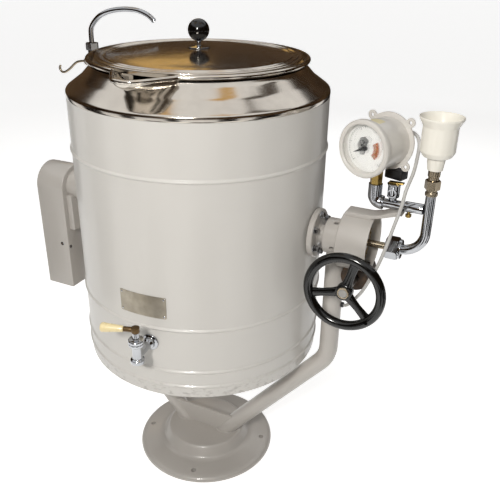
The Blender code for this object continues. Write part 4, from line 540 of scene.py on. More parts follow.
def arc(centre, radius, start, end, count):
    """Points along an arc, with angles in degrees."""
    angles = [math.radians(start + (end - start) * i / (count - 1)) for i in range(count)]
    return [(centre[0] + radius * math.cos(a), centre[1] + radius * math.sin(a)) for a in angles]


def sector(outer, inner, start, end, count):
    """The outline of part of a ring."""
    return arc((0.0, 0.0), outer, start, end, count) + arc((0.0, 0.0), inner, end, start, count)


# Patterns of like pieces.


def maths(tree, operation, first, second=0.0):
    """Add a node that works out a value from two others."""
    made = add_node(tree, "ShaderNodeMath", {"operation": operation})
    for socket, value in zip(made.inputs, (first, second)):
        if isinstance(value, bpy.types.NodeSocket):
            tree.links.new(value, socket)
        else:
            socket.default_value = value
    return made.outputs[0]


def ring_tree(name, sizes, make_head, uneven=False):
    """A geometry tree that sets like heads along an arc of an ellipse, turned with it or of uneven size."""
    tree = bpy.data.node_groups.new(name, "GeometryNodeTree")
    kinds = {"Count": "Int", "Material": "Material"}
    for label in ("Count", "Long", "Short", "Start", "Sweep") + sizes + ("Material",):
        kind = "NodeSocket" + kinds.get(label, "Float")
        tree.interface.new_socket(name=label, in_out="INPUT", socket_type=kind)
    tree.interface.new_socket(name="Geometry", in_out="OUTPUT", socket_type="NodeSocketGeometry")
    given = tree.nodes.new("NodeGroupInput").outputs
    index = add_node(tree, "GeometryNodeInputIndex").outputs[0]
    step = maths(tree, "DIVIDE", given["Sweep"], given["Count"])
    angle = maths(tree, "ADD", maths(tree, "MULTIPLY", index, step), given["Start"])
    across = maths(tree, "MULTIPLY", maths(tree, "COSINE", angle), given["Long"])
    up = maths(tree, "MULTIPLY", maths(tree, "SINE", angle), given["Short"])
    place = add_node(tree, "ShaderNodeCombineXYZ", None, {"X": across, "Y": up})
    line = add_node(tree, "GeometryNodeMeshLine", None, {"Count": given["Count"]})
    spread = add_node(tree, "GeometryNodeSetPosition", None,
                      {"Geometry": line.outputs[0], "Position": place.outputs[0]})
    values = {"Points": spread.outputs[0], "Instance": make_head(tree, given)}
    if uneven:
        size = add_node(tree, "FunctionNodeRandomValue", {"data_type": "FLOAT"}, {"Seed": 4})
        size.inputs[2].default_value = 0.85
        size.inputs[3].default_value = 1.15
        values["Scale"] = size.outputs[1]
    else:
        values["Rotation"] = add_node(tree, "ShaderNodeCombineXYZ", None, {"Z": angle}).outputs[0]
    heads = add_node(tree, "GeometryNodeInstanceOnPoints", None, values)
    real = add_node(tree, "GeometryNodeRealizeInstances", None, {"Geometry": heads.outputs[0]})
    painted = add_node(tree, "GeometryNodeSetMaterial", None,
                       {"Geometry": real.outputs[0], "Material": given["Material"]})
    add_node(tree, "NodeGroupOutput", None, {"Geometry": painted.outputs[0]})
    return tree


def bolt_head(tree, given):
    """A washer under a hexagon with a chamfered top."""
    def share(label, part):
        return maths(tree, "MULTIPLY", given[label], part)

    washer_height, body_height, cap_height = [share("Height", part) for part in (0.16, 0.72, 0.12)]
    washer = add_node(tree, "GeometryNodeMeshCylinder", None,
                      {"Vertices": 28, "Radius": share("Head", 1.14), "Depth": washer_height})
    body = add_node(tree, "GeometryNodeMeshCylinder", None,
                    {"Vertices": 6, "Radius": given["Head"], "Depth": body_height})
    cap = add_node(tree, "GeometryNodeMeshCone", None,
                   {"Vertices": 6, "Radius Bottom": given["Head"], "Radius Top": share("Head", 0.84),
                    "Depth": cap_height})
    half = maths(tree, "MULTIPLY", washer_height, 0.5)
    middle = maths(tree, "ADD", washer_height, maths(tree, "MULTIPLY", body_height, 0.5))
    top = maths(tree, "ADD", washer_height, body_height)
    head = add_node(tree, "GeometryNodeJoinGeometry")
    for part, height in ((washer, half), (body, middle), (cap, top)):
        lift = add_node(tree, "ShaderNodeCombineXYZ", None, {"Z": height})
        raised = add_node(tree, "GeometryNodeTransform", None,
                          {"Geometry": part.outputs["Mesh"], "Translation": lift.outputs[0]})
        tree.links.new(raised.outputs[0], head.inputs[0])
    return head.outputs[0]


def dome_head(tree, given):
    """A flattened ball, for rivets and screws."""
    ball = add_node(tree, "GeometryNodeMeshUVSphere", None, {"Segments": 20, "Rings": 12,
                                                             "Radius": given["Head"]})
    share = maths(tree, "DIVIDE", given["Height"], given["Head"])
    flat = add_node(tree, "ShaderNodeCombineXYZ", None, {"X": 1.0, "Y": 1.0, "Z": share})
    return add_node(tree, "GeometryNodeTransform", None,
                    {"Geometry": ball.outputs["Mesh"], "Scale": flat.outputs[0]}).outputs[0]


def mark_head(tree, given):
    """A short bar that points at the middle, for a printed scale."""
    size = add_node(tree, "ShaderNodeCombineXYZ", None, {"X": given["Head"], "Y": given["Height"],
                                                         "Z": 0.0002})
    return add_node(tree, "GeometryNodeMeshCube", None, {"Size": size.outputs[0]}).outputs["Mesh"]


def weld_head(tree, given):
    """One ripple of a weld."""
    return add_node(tree, "GeometryNodeMeshUVSphere", None,
                    {"Segments": 12, "Rings": 8, "Radius": given["Head"]}).outputs["Mesh"]


TREES = {}
HEADS = {"bolts": bolt_head, "domes": dome_head, "marks": mark_head, "weld": weld_head}


def pattern(name, kind, count, ring, size, matrix, start=0.0, sweep=math.tau, finish="chrome_plate"):
    """Run a geometry tree and keep its result as a plain mesh. A ring is a radius or an ellipse's two."""
    if kind not in TREES:
        TREES[kind] = ring_tree("ring_of_" + kind, ("Head", "Height"), HEADS[kind], kind == "weld")
    obj = new_piece(name, bpy.data.meshes.new(name))
    grown = obj.modifiers.new("pattern", "NODES")
    grown.node_group = TREES[kind]
    long, short = ring if isinstance(ring, tuple) else (ring, ring)
    values = {"Count": count, "Long": long, "Short": short, "Start": start, "Sweep": sweep, "Head": size[0],
              "Height": size[1], "Material": FINISH[finish]}
    for socket in TREES[kind].interface.items_tree:
        if socket.in_out == "INPUT":
            grown[socket.identifier] = values[socket.name]
    return moved(cleaned(obj), matrix)


# The kettle's shell.


BEADS = (0.852, 0.526, 0.4215, 0.384)
SPOUT_ANGLE = 3.0
SPOUT_HALF_ANGLE = 17.5
SPOUT_STATIONS = (
    (-0.30, 1.180, 1.00),
    (0.00, 1.000, 1.00),
    (0.30, 0.790, 0.95),
    (0.58, 0.585, 0.78),
    (0.80, 0.410, 0.56),
    (0.94, 0.250, 0.34),
)


def build_casing(sizes):
    """Enamelled casing with four pressed beads."""
    low, high = BOX["outer_casing"]
    radius = sizes.radius
    wall = 0.0020
    profile = [(radius, high.z)]
    for height in BEADS:
        for i in range(13):
            share = 1.0 - 2.0 * i / 12
            proud = sizes.bead_proud * math.cos(share * math.pi / 2) ** 1.5
            profile.append((radius + proud * 0.98, height + share * sizes.bead_half))
    profile += [(radius, low.z + 0.001), (radius - 0.001, low.z), (radius - 0.008, low.z),
                (radius - 0.008, low.z + wall), (radius - wall, low.z + wall), (radius - wall, high.z)]
    casing = turned("casing_surface", profile, 256, 0.0004)
    dress(casing, "kettle", "casing_enamel", "outer_casing")


def to_spout(point):
    return tuple(Matrix.Rotation(math.radians(SPOUT_ANGLE), 3, "Z") @ Vector(point))


def fine_stations():
    """The spout's stations read off a smooth curve."""
    return flowing(SPOUT_STATIONS, 1.3 / 44)


def spout_edge(sizes, along, spread):
    half = math.radians(SPOUT_HALF_ANGLE)
    start = sizes.rim_radius * math.cos(half)
    return sizes.rim_radius * math.sin(half) * spread, start + (sizes.spout_reach - start) * along


def spout_solid(sizes, name, shrink, lift):
    """The trough as a solid, with a flat lid at the rim's height or some way above it."""
    shape = bmesh.new()
    rows = []
    for along, spread, share in fine_stations():
        half_width, distance = spout_edge(sizes, along, spread)
        half_width -= 1.3 * shrink
        distance += min(shrink, 0.0)
        depth = sizes.spout_depth * share - shrink
        section = [(half_width * math.cos(math.pi * i / 40), -distance,
                    sizes.rim_height - depth * math.sin(math.pi * i / 40)) for i in range(41)]
        if lift > 0.0:
            section = [(half_width, -distance, sizes.rim_height + lift)] + section
            section.append((-half_width, -distance, sizes.rim_height + lift))
        rows.append([shape.verts.new(to_spout(point)) for point in section])
    count = len(rows[0])
    for near, far in zip(rows, rows[1:]):
        for i in range(count):
            j = (i + 1) % count
            shape.faces.new((near[i], near[j], far[j], far[i]))
    shape.faces.new(rows[0])
    end = shape.verts.new(to_spout((0.0, -sizes.spout_reach + shrink * 1.3, sizes.rim_height)))
    for i in range(count):
        shape.faces.new((rows[-1][i], rows[-1][(i + 1) % count], end))
    bmesh.ops.recalc_face_normals(shape, faces=shape.faces)
    return finished(name, shape)


def build_vessel(sizes):
    """Cooking vessel with its rolled rim, pouring trough and rolled lip."""
    wall = sizes.sheet
    outer = sizes.bore + wall
    low = BOX["inner_vessel"][0].z
    ledge = sizes.ledge_height
    rim = sizes.rim_radius
    top = sizes.rim_height
    bead = arc((rim, top), sizes.rim_bead, 90.0, -90.0, 13)
    dish = 0.035
    bowl = [(0.0, low + wall), (sizes.bore * 0.5, low + dish * 0.10 + wall),
            (sizes.bore * 0.8, low + dish * 0.30 + wall), (sizes.bore * 0.94, low + dish * 0.60 + wall),
            (sizes.bore, low + dish + 0.02)]
    profile = bowl + [(sizes.bore, ledge), (sizes.bore + wall, ledge + wall),
                      (sizes.ledge_radius, ledge + wall), (rim - 0.006, top - 0.002),
                      (rim - 0.003, top + sizes.rim_bead)]
    profile += bead
    profile += [(rim - 0.003, top - sizes.rim_bead - 0.001), (sizes.ledge_radius + wall, ledge - 0.001),
                (outer, ledge - wall), (outer, low + dish + 0.02)]
    profile += [(radius * outer / sizes.bore, height - wall) for radius, height in reversed(bowl[:-1])]
    vessel = turned("vessel_surface", profile, 128, 0.0006)
    outside = spout_solid(sizes, "trough_outside", 0.0, 0.0)
    inside = spout_solid(sizes, "trough_inside", 0.0022, 0.030)
    clear = turned("vessel_clear", [
        (0.0, top + 0.030), (rim - 0.005, top + 0.030), (rim - 0.005, top - 0.002),
        (sizes.ledge_radius + 0.001, ledge + wall - 0.001), (sizes.bore + 0.001, ledge - 0.001),
        (sizes.bore + 0.001, ledge - 0.050), (0.0, ledge - 0.050)], 128, 0.0)
    outside = cut_by(outside, [clear])
    vessel = cut_by(vessel, [outside], "UNION")
    vessel = cut_by(vessel, [inside])
    edge = [spout_edge(sizes, along, spread) for along, spread, _ in fine_stations() if along > -0.02]
    right_side = [(x, -y, top) for x, y in edge]
    left_side = [(-x, y, z) for x, y, z in reversed(right_side)]
    nose = (0.0, -sizes.spout_reach + 0.0020, top)
    path = [to_spout(point) for point in right_side + [nose] + left_side]
    lip = tube("lip_surface", path, sizes.rim_bead * 0.92, 6)
    vessel = merged("vessel_surface", [vessel, lip])
    smooth(vessel.data, 40.0)
    dress(vessel, "kettle", "polished_stainless", "inner_vessel")


def build_shoulder(sizes):
    """Polished shoulder with its bright strip, opened round the trough."""
    foot = BOX["top_shoulder"][0].z
    neck_z = BOX["top_shoulder"][1].z
    strip = foot + sizes.strip
    neck = sizes.rim_radius - 0.0035
    sheet = 0.0015
    profile = [
        (neck, neck_z),
        (neck + 0.003, neck_z - 0.006),
        (neck + 0.022, neck_z - 0.026),
        (sizes.radius - 0.008, strip + 0.006),
        (sizes.radius + 0.0006, strip),
        (sizes.radius + 0.0006, foot),
        (sizes.radius - sheet, foot),
        (sizes.radius - sheet, strip),
        (sizes.radius - 0.008 - sheet, strip + 0.005),
        (neck + 0.022 - sheet, neck_z - 0.027),
        (neck + 0.003 - sheet, neck_z - 0.007),
        (neck - sheet, neck_z - 0.001),
    ]
    shoulder = turned("shoulder_surface", profile, 192, 0.0045)
    shoulder = cut_by(shoulder, [spout_solid(sizes, "trough_clear", -0.0004, 0.002)])
    dress(shoulder, "kettle", "polished_stainless", "top_shoulder")


def build_lid(sizes):
    """Domed lid with two pressed rings, its stem and the ball knob."""
    seat = BOX["lid"][0].z
    flat = seat + 0.0125
    crown = flat + sizes.rise
    inner, outer = sizes.inner_ring, sizes.outer_ring
    top = [(0.0, crown), (0.050, crown - 0.0012), (0.100, crown - 0.0040), (0.140, crown - 0.0070),
           (0.170, crown - 0.0105), (inner - 0.004, flat)]
    for ring in (inner, outer):
        top += [(ring + x, flat + 0.0020 * math.cos(math.pi * x / 0.006) ** 2) for x in
                (-0.0030, -0.0020, -0.0010, 0.0, 0.0010, 0.0020, 0.0030)]
    top += [(sizes.radius - 0.0015, flat), (sizes.radius, flat - 0.0012)]
    under = [(sizes.radius, flat - 0.0030), (outer - 0.0015, flat - 0.0030), (outer - 0.0015, seat),
             (outer - 0.0035, seat), (outer - 0.0035, flat - 0.0025), (inner - 0.003, flat - 0.0020),
             (0.170, crown - 0.0125), (0.100, crown - 0.0060), (0.0, crown - 0.0020)]
    lid = turned("lid_surface", top + under, 192, 0.0008)
    dress(lid, "lid_set", "polished_stainless", "lid")
    low, high = BOX["lid_stem"]
    stem = turned("stem_surface", [
        (0.0, high.z), (0.0065, high.z), (0.0045, high.z - 0.0015), (0.0045, low.z + 0.0035),
        (0.0120, low.z + 0.0022), (sizes.base, low.z + 0.0014), (sizes.base, low.z), (0.0, low.z)], 48,
        0.0007)
    dress(stem, "lid_set", "chrome_plate", "lid_stem")
    low, high = BOX["lid_knob"]
    middle = high.z - sizes.knob
    foot_angle = math.degrees(math.asin((middle - low.z) / sizes.knob))
    ball = turned("knob_surface", arc((0.0, middle), sizes.knob, 90.0, -foot_angle, 25) + [(0.0, low.z)], 48,
                  0.0)
    dress(ball, "lid_set", "black_bakelite", "lid_knob")


# The stand.


ARM_R = 0.0215
ARM_X = BOX["fork_arm_right"][1].x - ARM_R
ARM_CORNER_Z = 0.375
ARM_SLOPE = 50.0
ANCHOR_START = -73.6
ANCHOR_CIRCLE = 0.154


def arm_path(sizes, side):
    """Down from the trunnion, round the corner and along the slope into the boss."""
    slope = math.radians(ARM_SLOPE)
    turn = math.pi / 2 - slope
    tangent = sizes.bend_radius * math.tan(turn / 2)
    boss = BOX["pedestal_base"][1].z
    foot_x = ARM_X - (ARM_CORNER_Z - boss) / math.tan(slope)
    points = [(side * ARM_X, 0.0, TRUNNION_Z)]
    for i in range(17):
        angle = turn * i / 16
        points.append((side * (ARM_X - sizes.bend_radius * (1 - math.cos(angle))), 0.0,
                       ARM_CORNER_Z + tangent - sizes.bend_radius * math.sin(angle)))
    points.append((side * (foot_x - 0.010 / math.tan(slope)), 0.0, boss - 0.010))
    return points, foot_x


def build_pedestal(sizes):
    """Cast base flange with its boss, anchor holes and the welds of the fork's feet."""
    top = BOX["pedestal_base"][1].z
    base = sizes.base_radius
    boss = sizes.boss_radius
    profile = [(0.0, top), (boss, top), (boss + 0.004, top - 0.003), (boss + 0.013, 0.032),
               (boss + 0.018, 0.024), (boss + 0.028, 0.0195), (base - 0.012, 0.0150), (base - 0.004, 0.0120),
               (base, 0.0065), (base, 0.0), (0.0, 0.0)]
    casting = turned("pedestal_surface", profile, 160, 0.004)
    holes = []
    for i in range(sizes.bolt_holes):
        angle = math.radians(ANCHOR_START + 360.0 * i / sizes.bolt_holes)
        place = at(ANCHOR_CIRCLE * math.cos(angle), ANCHOR_CIRCLE * math.sin(angle), -0.01)
        holes.append(rod("anchor_hole_%d" % i, 0.0065, 0.05, place, 32, 0.0))
    casting = cut_by(casting, holes)
    dress(casting, "stand", "stand_enamel", "pedestal_base")
    stretch = 1.0 / math.sin(math.radians(ARM_SLOPE))
    for side, label in ((1, "right"), (-1, "left")):
        foot_x = arm_path(sizes, side)[1]
        short = sizes.arm_radius + 0.0005
        weld = pattern("foot_weld_" + label, "weld", 64, (short * stretch, short), (0.0028, 0.0),
                       at(side * foot_x, 0.0, top), finish="stand_enamel")
        dress(weld, "stand", "stand_enamel")


def build_arms(sizes, drive):
    """The fork's two bent tubes."""
    for side, label in ((1, "right"), (-1, "left")):
        arm = tube("arm_surface_" + label, arm_path(sizes, side)[0], sizes.arm_radius, 12)
        axle = facing((side * 0.30, 0.0, TRUNNION_Z), (side, 0.0, 0.0))
        seats = [rod("collar_seat", drive.collar_radius - 0.0005, 0.2, axle, 96, 0.0)]
        if side > 0:
            drum = on_trunnion(BOX["gear_housing"][0].x + COLLAR_LENGTH)
            seats.append(rod("drum_seat", drive.drum_radius - 0.0005, 0.2, drum, 96, 0.0))
        dress(cut_by(arm, seats), "stand", "stand_enamel", "fork_arm_" + label)


# The right-hand bearing, worm drive and handwheel.


SPOKES = (75.0, 195.0, 315.0)
TRUNNION_START = 0.2323
FLANGE_X = 0.2815
FLANGE_THICK = 0.012
SHAFT_R = 0.020
BUSH_R = 0.0246
COLLAR_BORE = 0.0335
COLLAR_WEB = 0.012
COLLAR_LENGTH = 0.0355
DRUM_SEAT = 0.0622
WORM_ROOM = 0.0264
WORM_BORE = 0.0095


def on_trunnion(x, side=1):
    """A frame on the trunnion axis whose Z axis points outwards."""
    return facing((x, 0.0, TRUNNION_Z), (side, 0.0, 0.0))


def build_gear_housing(sizes):
    """Bearing collar and the drum round the worm wheel."""
    low, high = BOX["gear_housing"]
    reach = high.x - low.x
    drum_start = COLLAR_LENGTH
    wall = 0.0035
    profile = [
        (sizes.drum_radius, reach), (sizes.drum_radius, drum_start + 0.002),
        (sizes.drum_radius - 0.002, drum_start), (sizes.collar_radius, drum_start),
        (sizes.collar_radius, 0.002), (sizes.collar_radius - 0.002, 0.0), (BUSH_R, 0.0),
        (BUSH_R, COLLAR_WEB), (COLLAR_BORE, COLLAR_WEB), (COLLAR_BORE, drum_start + wall),
        (sizes.drum_radius - wall, drum_start + wall), (sizes.drum_radius - wall, reach)]
    housing = turned("gear_housing_surface", profile, 128, 0.0015, on_trunnion(low.x))
    tools = []
    for i, angle in enumerate((20.0, 110.0)):
        turn = at(low.x + 0.023, 0.0, TRUNNION_Z) @ Matrix.Rotation(math.radians(angle), 4, "X")
        tools.append(block("window_%d" % i, (0.010, 3 * sizes.collar_radius, 0.0085), turn, 0.002))
    worm_low, worm_high = BOX["worm_case"]
    middle = (worm_low + worm_high) / 2
    place = facing((middle.x, worm_low.y + 0.005, AXIS["handwheel_turn"].z), BACK)
    tools.append(rod("worm_room", WORM_ROOM, worm_high.y - worm_low.y - 0.010, place, 64, 0.0))
    housing = cut_by(housing, tools)
    dress(housing, "stand", "stand_enamel", "gear_housing")


def build_trunnions(sizes):
    """Flanged hollow trunnions, each with its ring of plated bolts."""
    flange = FLANGE_X - TRUNNION_START
    seat = flange + FLANGE_THICK
    radius = sizes.flange_radius
    for label, side in (("right", 1), ("left", -1)):
        low, high = BOX["trunnion_" + label]
        reach = abs((high.x if side > 0 else low.x) - TRUNNION_START * side)
        profile = [(SHAFT_R, reach), (SHAFT_R, seat + 0.004), (SHAFT_R + 0.006, seat), (radius - 0.002, seat),
                   (radius, seat - 0.002), (radius, flange), (0.030, flange), (0.030, 0.0), (0.0085, 0.0),
                   (0.0085, reach)]
        axle = on_trunnion(TRUNNION_START * side, side)
        surface = turned("trunnion_surface_" + label, profile, 96, 0.001, axle)
        dress(surface, "kettle", "stand_enamel", "trunnion_" + label)
        heads = pattern("flange_bolts_" + label, "bolts", sizes.bolts, sizes.bolt_circle, (0.0070, 0.0080),
                        on_trunnion((FLANGE_X + FLANGE_THICK) * side, side), math.pi / sizes.bolts)
        dress(heads, "kettle", "chrome_plate")


def drum_saddle(x):
    """A tool that hollows a piece out to sit on the drum."""
    return rod("drum_saddle", DRUM_SEAT, 0.12, on_trunnion(x), 96, 0.0)


def build_worm_case():
    """Oily casting round the worm, with its back cap."""
    axle = AXIS["handwheel_turn"]
    low, high = BOX["worm_case"]
    reach = high.y - low.y
    radius = (high.x - low.x) / 2
    case = [(radius, reach), (radius, 0.0), (WORM_BORE, 0.0), (WORM_BORE, 0.005), (WORM_ROOM, 0.005),
            (WORM_ROOM, reach)]
    cap = [(0.0, 0.006), (radius, 0.006), (radius, 0.0), (WORM_BORE, 0.0), (WORM_BORE, 0.004), (0.0, 0.004)]
    for node, name, profile, soft in (("worm_case", "worm_case_surface", case, 0.0015),
                                      ("worm_case_cap", "worm_cap_surface", cap, 0.0012)):
        piece = turned(name, profile, 72, soft, facing((axle.x, BOX[node][0].y, axle.z), BACK))
        dress(cut_by(piece, [drum_saddle(axle.x - 0.06)]), "stand", "dark_iron", node)


def build_handwheel(sizes):
    """Glossy three-spoke handwheel, and the thin nut on its shaft."""
    place = AXIS["handwheel_turn"]
    front_plane = facing(place, FRONT)
    half = sizes.wheel_rim / 2
    middle = sizes.wheel_radius - half
    front, back, bore = 0.0045, 0.0140, 0.0093
    rim = turned("wheel_rim", arc((middle, 0.0), half, 90.0, -270.0, 33)[:-1], 128, 0.0, front_plane)
    hub = turned("wheel_hub", [(0.0150, front + 0.0006), (0.0180, front - 0.0010), (0.0180, 0.002 - back),
                               (0.0160, -back), (bore, -back), (bore, front)], 64, 0.0012, front_plane)
    reach = sizes.wheel_radius - 0.0115
    crank = math.radians(SPOKES[2])
    place_of_hole = (place.x + reach * math.cos(crank), place.y - 0.03, place.z + reach * math.sin(crank))
    hole = rod("crank_hole", 0.0042, 0.06, facing(place_of_hole, BACK), 24, 0.0)
    pieces = [cut_by(rim, [hole]), hub]
    for i, angle in enumerate(SPOKES):
        inner, outer = 0.0130, middle - 0.003
        spoke = turned("wheel_spoke_%d" % i, [
            (0.0, outer), (0.0125, outer), (0.0100, outer - 0.008), (0.0088, (inner + outer) / 2),
            (0.0100, inner + 0.008), (0.0125, inner), (0.0, inner)], 32, 0.006)
        flat = Matrix.Diagonal((1.0, 0.62, 1.0, 1.0))
        around = Matrix.Translation(place + Vector((0.0, 0.0030, 0.0)))
        around = around @ Matrix.Rotation(-math.radians(angle), 4, "Y")
        pieces.append(moved(spoke, around @ Matrix.Rotation(math.radians(90), 4, "Y") @ flat))
    dress(merged("handwheel_surface", pieces), "worm", "black_bakelite", "handwheel")
    nut_place = facing((place.x, BOX["handwheel_nut"][1].y, place.z), FRONT)
    ring = [(0.0115, 0.0030), (0.0130, 0.0015), (0.0130, 0.0), (bore, 0.0), (bore, 0.0030)]
    ring = turned("wheel_nut_surface", ring, 48, 0.0005, nut_place)
    dress(ring, "worm", "brass", "handwheel_nut", finish="warm_nickel")


# The steam fittings.


FEED_R = 0.0105
ELBOW_R = 0.0143
ELBOW_BEND = 0.016


def build_bracket():
    """Cast ramp from the drum up to the manifold."""
    low, high = BOX["fittings_bracket"]
    seat = TRUNNION_Z + 0.0623
    top = high.z
    start, end = low.x, high.x
    drum_end = BOX["gear_housing"][1].x
    thick = 0.006
    outline = [
        (start, seat - 0.003), (drum_end - 0.006, seat - 0.003), (drum_end - 0.004, seat),
        (drum_end + 0.008, seat + 0.002), (end - 0.003, top - thick), (end, top - thick), (end, top),
        (end - 0.016, top), (drum_end + 0.012, seat + thick + 0.005), (drum_end - 0.010, seat + thick),
        (start, seat + thick)]
    width = high.y - low.y
    bracket = prism("bracket_surface", outline, width, facing((0.0, 0.0, 0.0), FRONT), 0.0008)
    dress(cut_by(bracket, [drum_saddle(start - 0.02)]), "stand", "stand_enamel", "fittings_bracket")


def build_steam_line():
    """Union nut, feed pipe, manifold and the gauge's nipple."""
    low, high = BOX["union_nut"]
    body = nut("union_nut_surface", 0.0245, high.x - low.x, on_trunnion(low.x))
    body = cut_by(body, [rod("union_bore", 0.0080, 0.08, on_trunnion(low.x - 0.02), 48, 0.0)])
    dress(body, "stand", "chrome_plate", "union_nut")
    low, high = BOX["feed_pipe"]
    radius = FEED_R
    riser_x = high.x - radius
    bend = 0.045
    curve = [(x, 0.0, z) for x, z in arc((riser_x - bend, TRUNNION_Z + bend), bend, -90.0, 0.0, 21)]
    pipe = tube("feed_pipe_tube", [(low.x, 0.0, TRUNNION_Z)] + curve + [(riser_x, 0.0, high.z)], radius, 8)
    collar = rod("feed_collar", 0.0205, 0.006, on_trunnion(low.x), 48, 0.001)
    dress(merged("feed_pipe_surface", [pipe, collar]), "stand", "chrome_plate", "feed_pipe")
    low, high = BOX["manifold"]
    stem_x = low.x + 0.0145
    level = low.z + 0.0145
    middle = (stem_x + ELBOW_BEND, level + ELBOW_BEND)
    corner = [(x, 0.0, z) for x, z in arc(middle, ELBOW_BEND, 180.0, 270.0, 15)]
    elbow = tube("elbow", [(stem_x, 0.0, high.z)] + corner + [(stem_x + 0.019, 0.0, level)], ELBOW_R, 8)
    parts = [elbow]
    bars = ((stem_x + 0.010, 0.470, 0.0095), (0.468, high.x, 0.0110), (0.484, 0.488, 0.0106))
    for start, end, size in bars:
        parts.append(rod("manifold_part", size, end - start, facing((start, 0.0, level), RIGHT), 40, 0.0008))
    dress(merged("manifold_surface", parts), "stand", "chrome_plate", "manifold")
    low, high = BOX["gauge_nipple"]
    hexagon = nut("nipple_surface", 0.0125, high.z - low.z, at(stem_x, 0.0, low.z))
    dress(hexagon, "stand", "brass", "gauge_nipple")


def build_funnel():
    """Filling valve and the enamelled funnel cup."""
    low, high = BOX["funnel_valve"]
    x = (low.x + high.x) / 2
    here = at(x, 0.0, low.z)
    tall = high.z - low.z
    body = turned("valve_body", [(0.0, tall), (0.0120, tall), (0.0120, tall - 0.012), (0.0105, tall - 0.014),
                                 (0.0105, 0.008), (0.0125, 0.006), (0.0125, 0.0), (0.0, 0.0)], 48, 0.0006,
                                 here)
    hexagon = nut("valve_hexagon", 0.0155, 0.018, here @ at(0.0, 0.0, 0.013))
    dress(merged("funnel_valve_surface", [body, hexagon]), "stand", "brass", "funnel_valve",
          finish="warm_nickel")
    low, high = BOX["funnel_cup"]
    rim = high.z
    bowl = rim - 0.076
    wall = 0.0022
    radius, flare = 0.0335, 0.0418
    cup = turned("funnel_cup_surface", [
        (0.0, bowl - 0.008), (radius - 0.008, bowl + 0.003), (radius - wall, bowl + 0.011),
        (radius - wall, rim - 0.017), (flare - 0.0035, rim - 0.0020), (flare - 0.0015, rim), (flare, rim),
        (flare, rim - 0.0030), (radius, rim - 0.018), (radius, bowl + 0.010),
        (radius - 0.006, bowl), (0.0180, bowl - 0.003), (0.0150, low.z), (0.0, low.z)], 96, 0.0012,
        at(x, 0.0, 0.0))
    dress(cup, "stand", "cream_enamel", "funnel_cup")


def build_valves():
    """Safety valve with its lever, and the air cock under the manifold."""
    low, high = BOX["safety_valve"]
    x = (low.x + high.x) / 2
    here = at(x, 0.0, low.z)
    tall = high.z - low.z
    body = turned("safety_body", [(0.0, tall), (0.0140, tall), (0.0140, tall - 0.0025),
                                  (0.0125, tall - 0.0030), (0.0125, 0.007), (0.0080, 0.004), (0.0080, 0.0),
                                  (0.0, 0.0)], 48, 0.0005, here)
    outlet = turned("safety_outlet", [(0.0090, 0.0140), (0.0090, 0.0), (0.0, 0.0), (0.0, 0.004),
                                      (0.0065, 0.004), (0.0065, 0.0140)], 40, 0.0006,
                    facing((x, low.y + 0.0140, low.z + tall / 2), FRONT))
    dress(merged("safety_valve_surface", [body, outlet]), "stand", "chrome_plate", "safety_valve")
    low, high = BOX["safety_lever"]
    lever = block("safety_lever_surface", high - low, Matrix.Translation((low + high) / 2), 0.001)
    dress(lever, "relief_lever", "brass", "safety_lever")
    low, high = BOX["air_cock"]
    x = (low.x + high.x) / 2
    tall = high.z - low.z
    screw = turned("air_cock_surface", [(0.0, tall), (0.0035, tall), (0.0035, 0.008), (0.0062, 0.007),
                                        (0.0062, 0.002), (0.0040, 0.0), (0.0, 0.0)], 32, 0.0005,
                                        at(x, 0.0, low.z))
    dress(screw, "cock", "brass", "air_cock")


# The gauge.


GAUGE_AXIS = Vector(JOINT["gauge_pointer_turn"]["axis"]).normalized()
GAUGE_LUG = 0.0443
GAUGE_EAR_R = 0.0095
GAUGE_DISC_R = 0.0575
GAUGE_BACK = 0.0927
GAUGE_GLAND = 0.004
CABLE_END_Z = 0.5210
CABLE_R = 0.0036


def gauge_frame(depth=0.0, across=0.0, up=0.0):
    """A frame behind the bezel's front face, whose Z axis points at the reader."""
    front = AXIS["gauge_pointer_turn"]
    side = Vector((0.0, 0.0, 1.0)).cross(-GAUGE_AXIS)
    place = front + GAUGE_AXIS * depth + side * across + Vector((0.0, 0.0, up))
    return facing(place, -GAUGE_AXIS)


def flange_outline():
    """Round rear flange with four ears for its screws."""
    reach = math.hypot(GAUGE_LUG, GAUGE_LUG)
    lean = math.degrees(math.asin(GAUGE_EAR_R / reach))
    outline = []
    for i in range(4):
        middle = 45.0 + 90.0 * i
        centre = (reach * math.cos(math.radians(middle)), reach * math.sin(math.radians(middle)))
        outline += arc((0.0, 0.0), GAUGE_DISC_R, middle - 90.0 + lean, middle - lean, 17)
        outline += arc(centre, GAUGE_EAR_R, middle - 90.0 - lean, middle + 90.0 + lean, 15)
    return outline


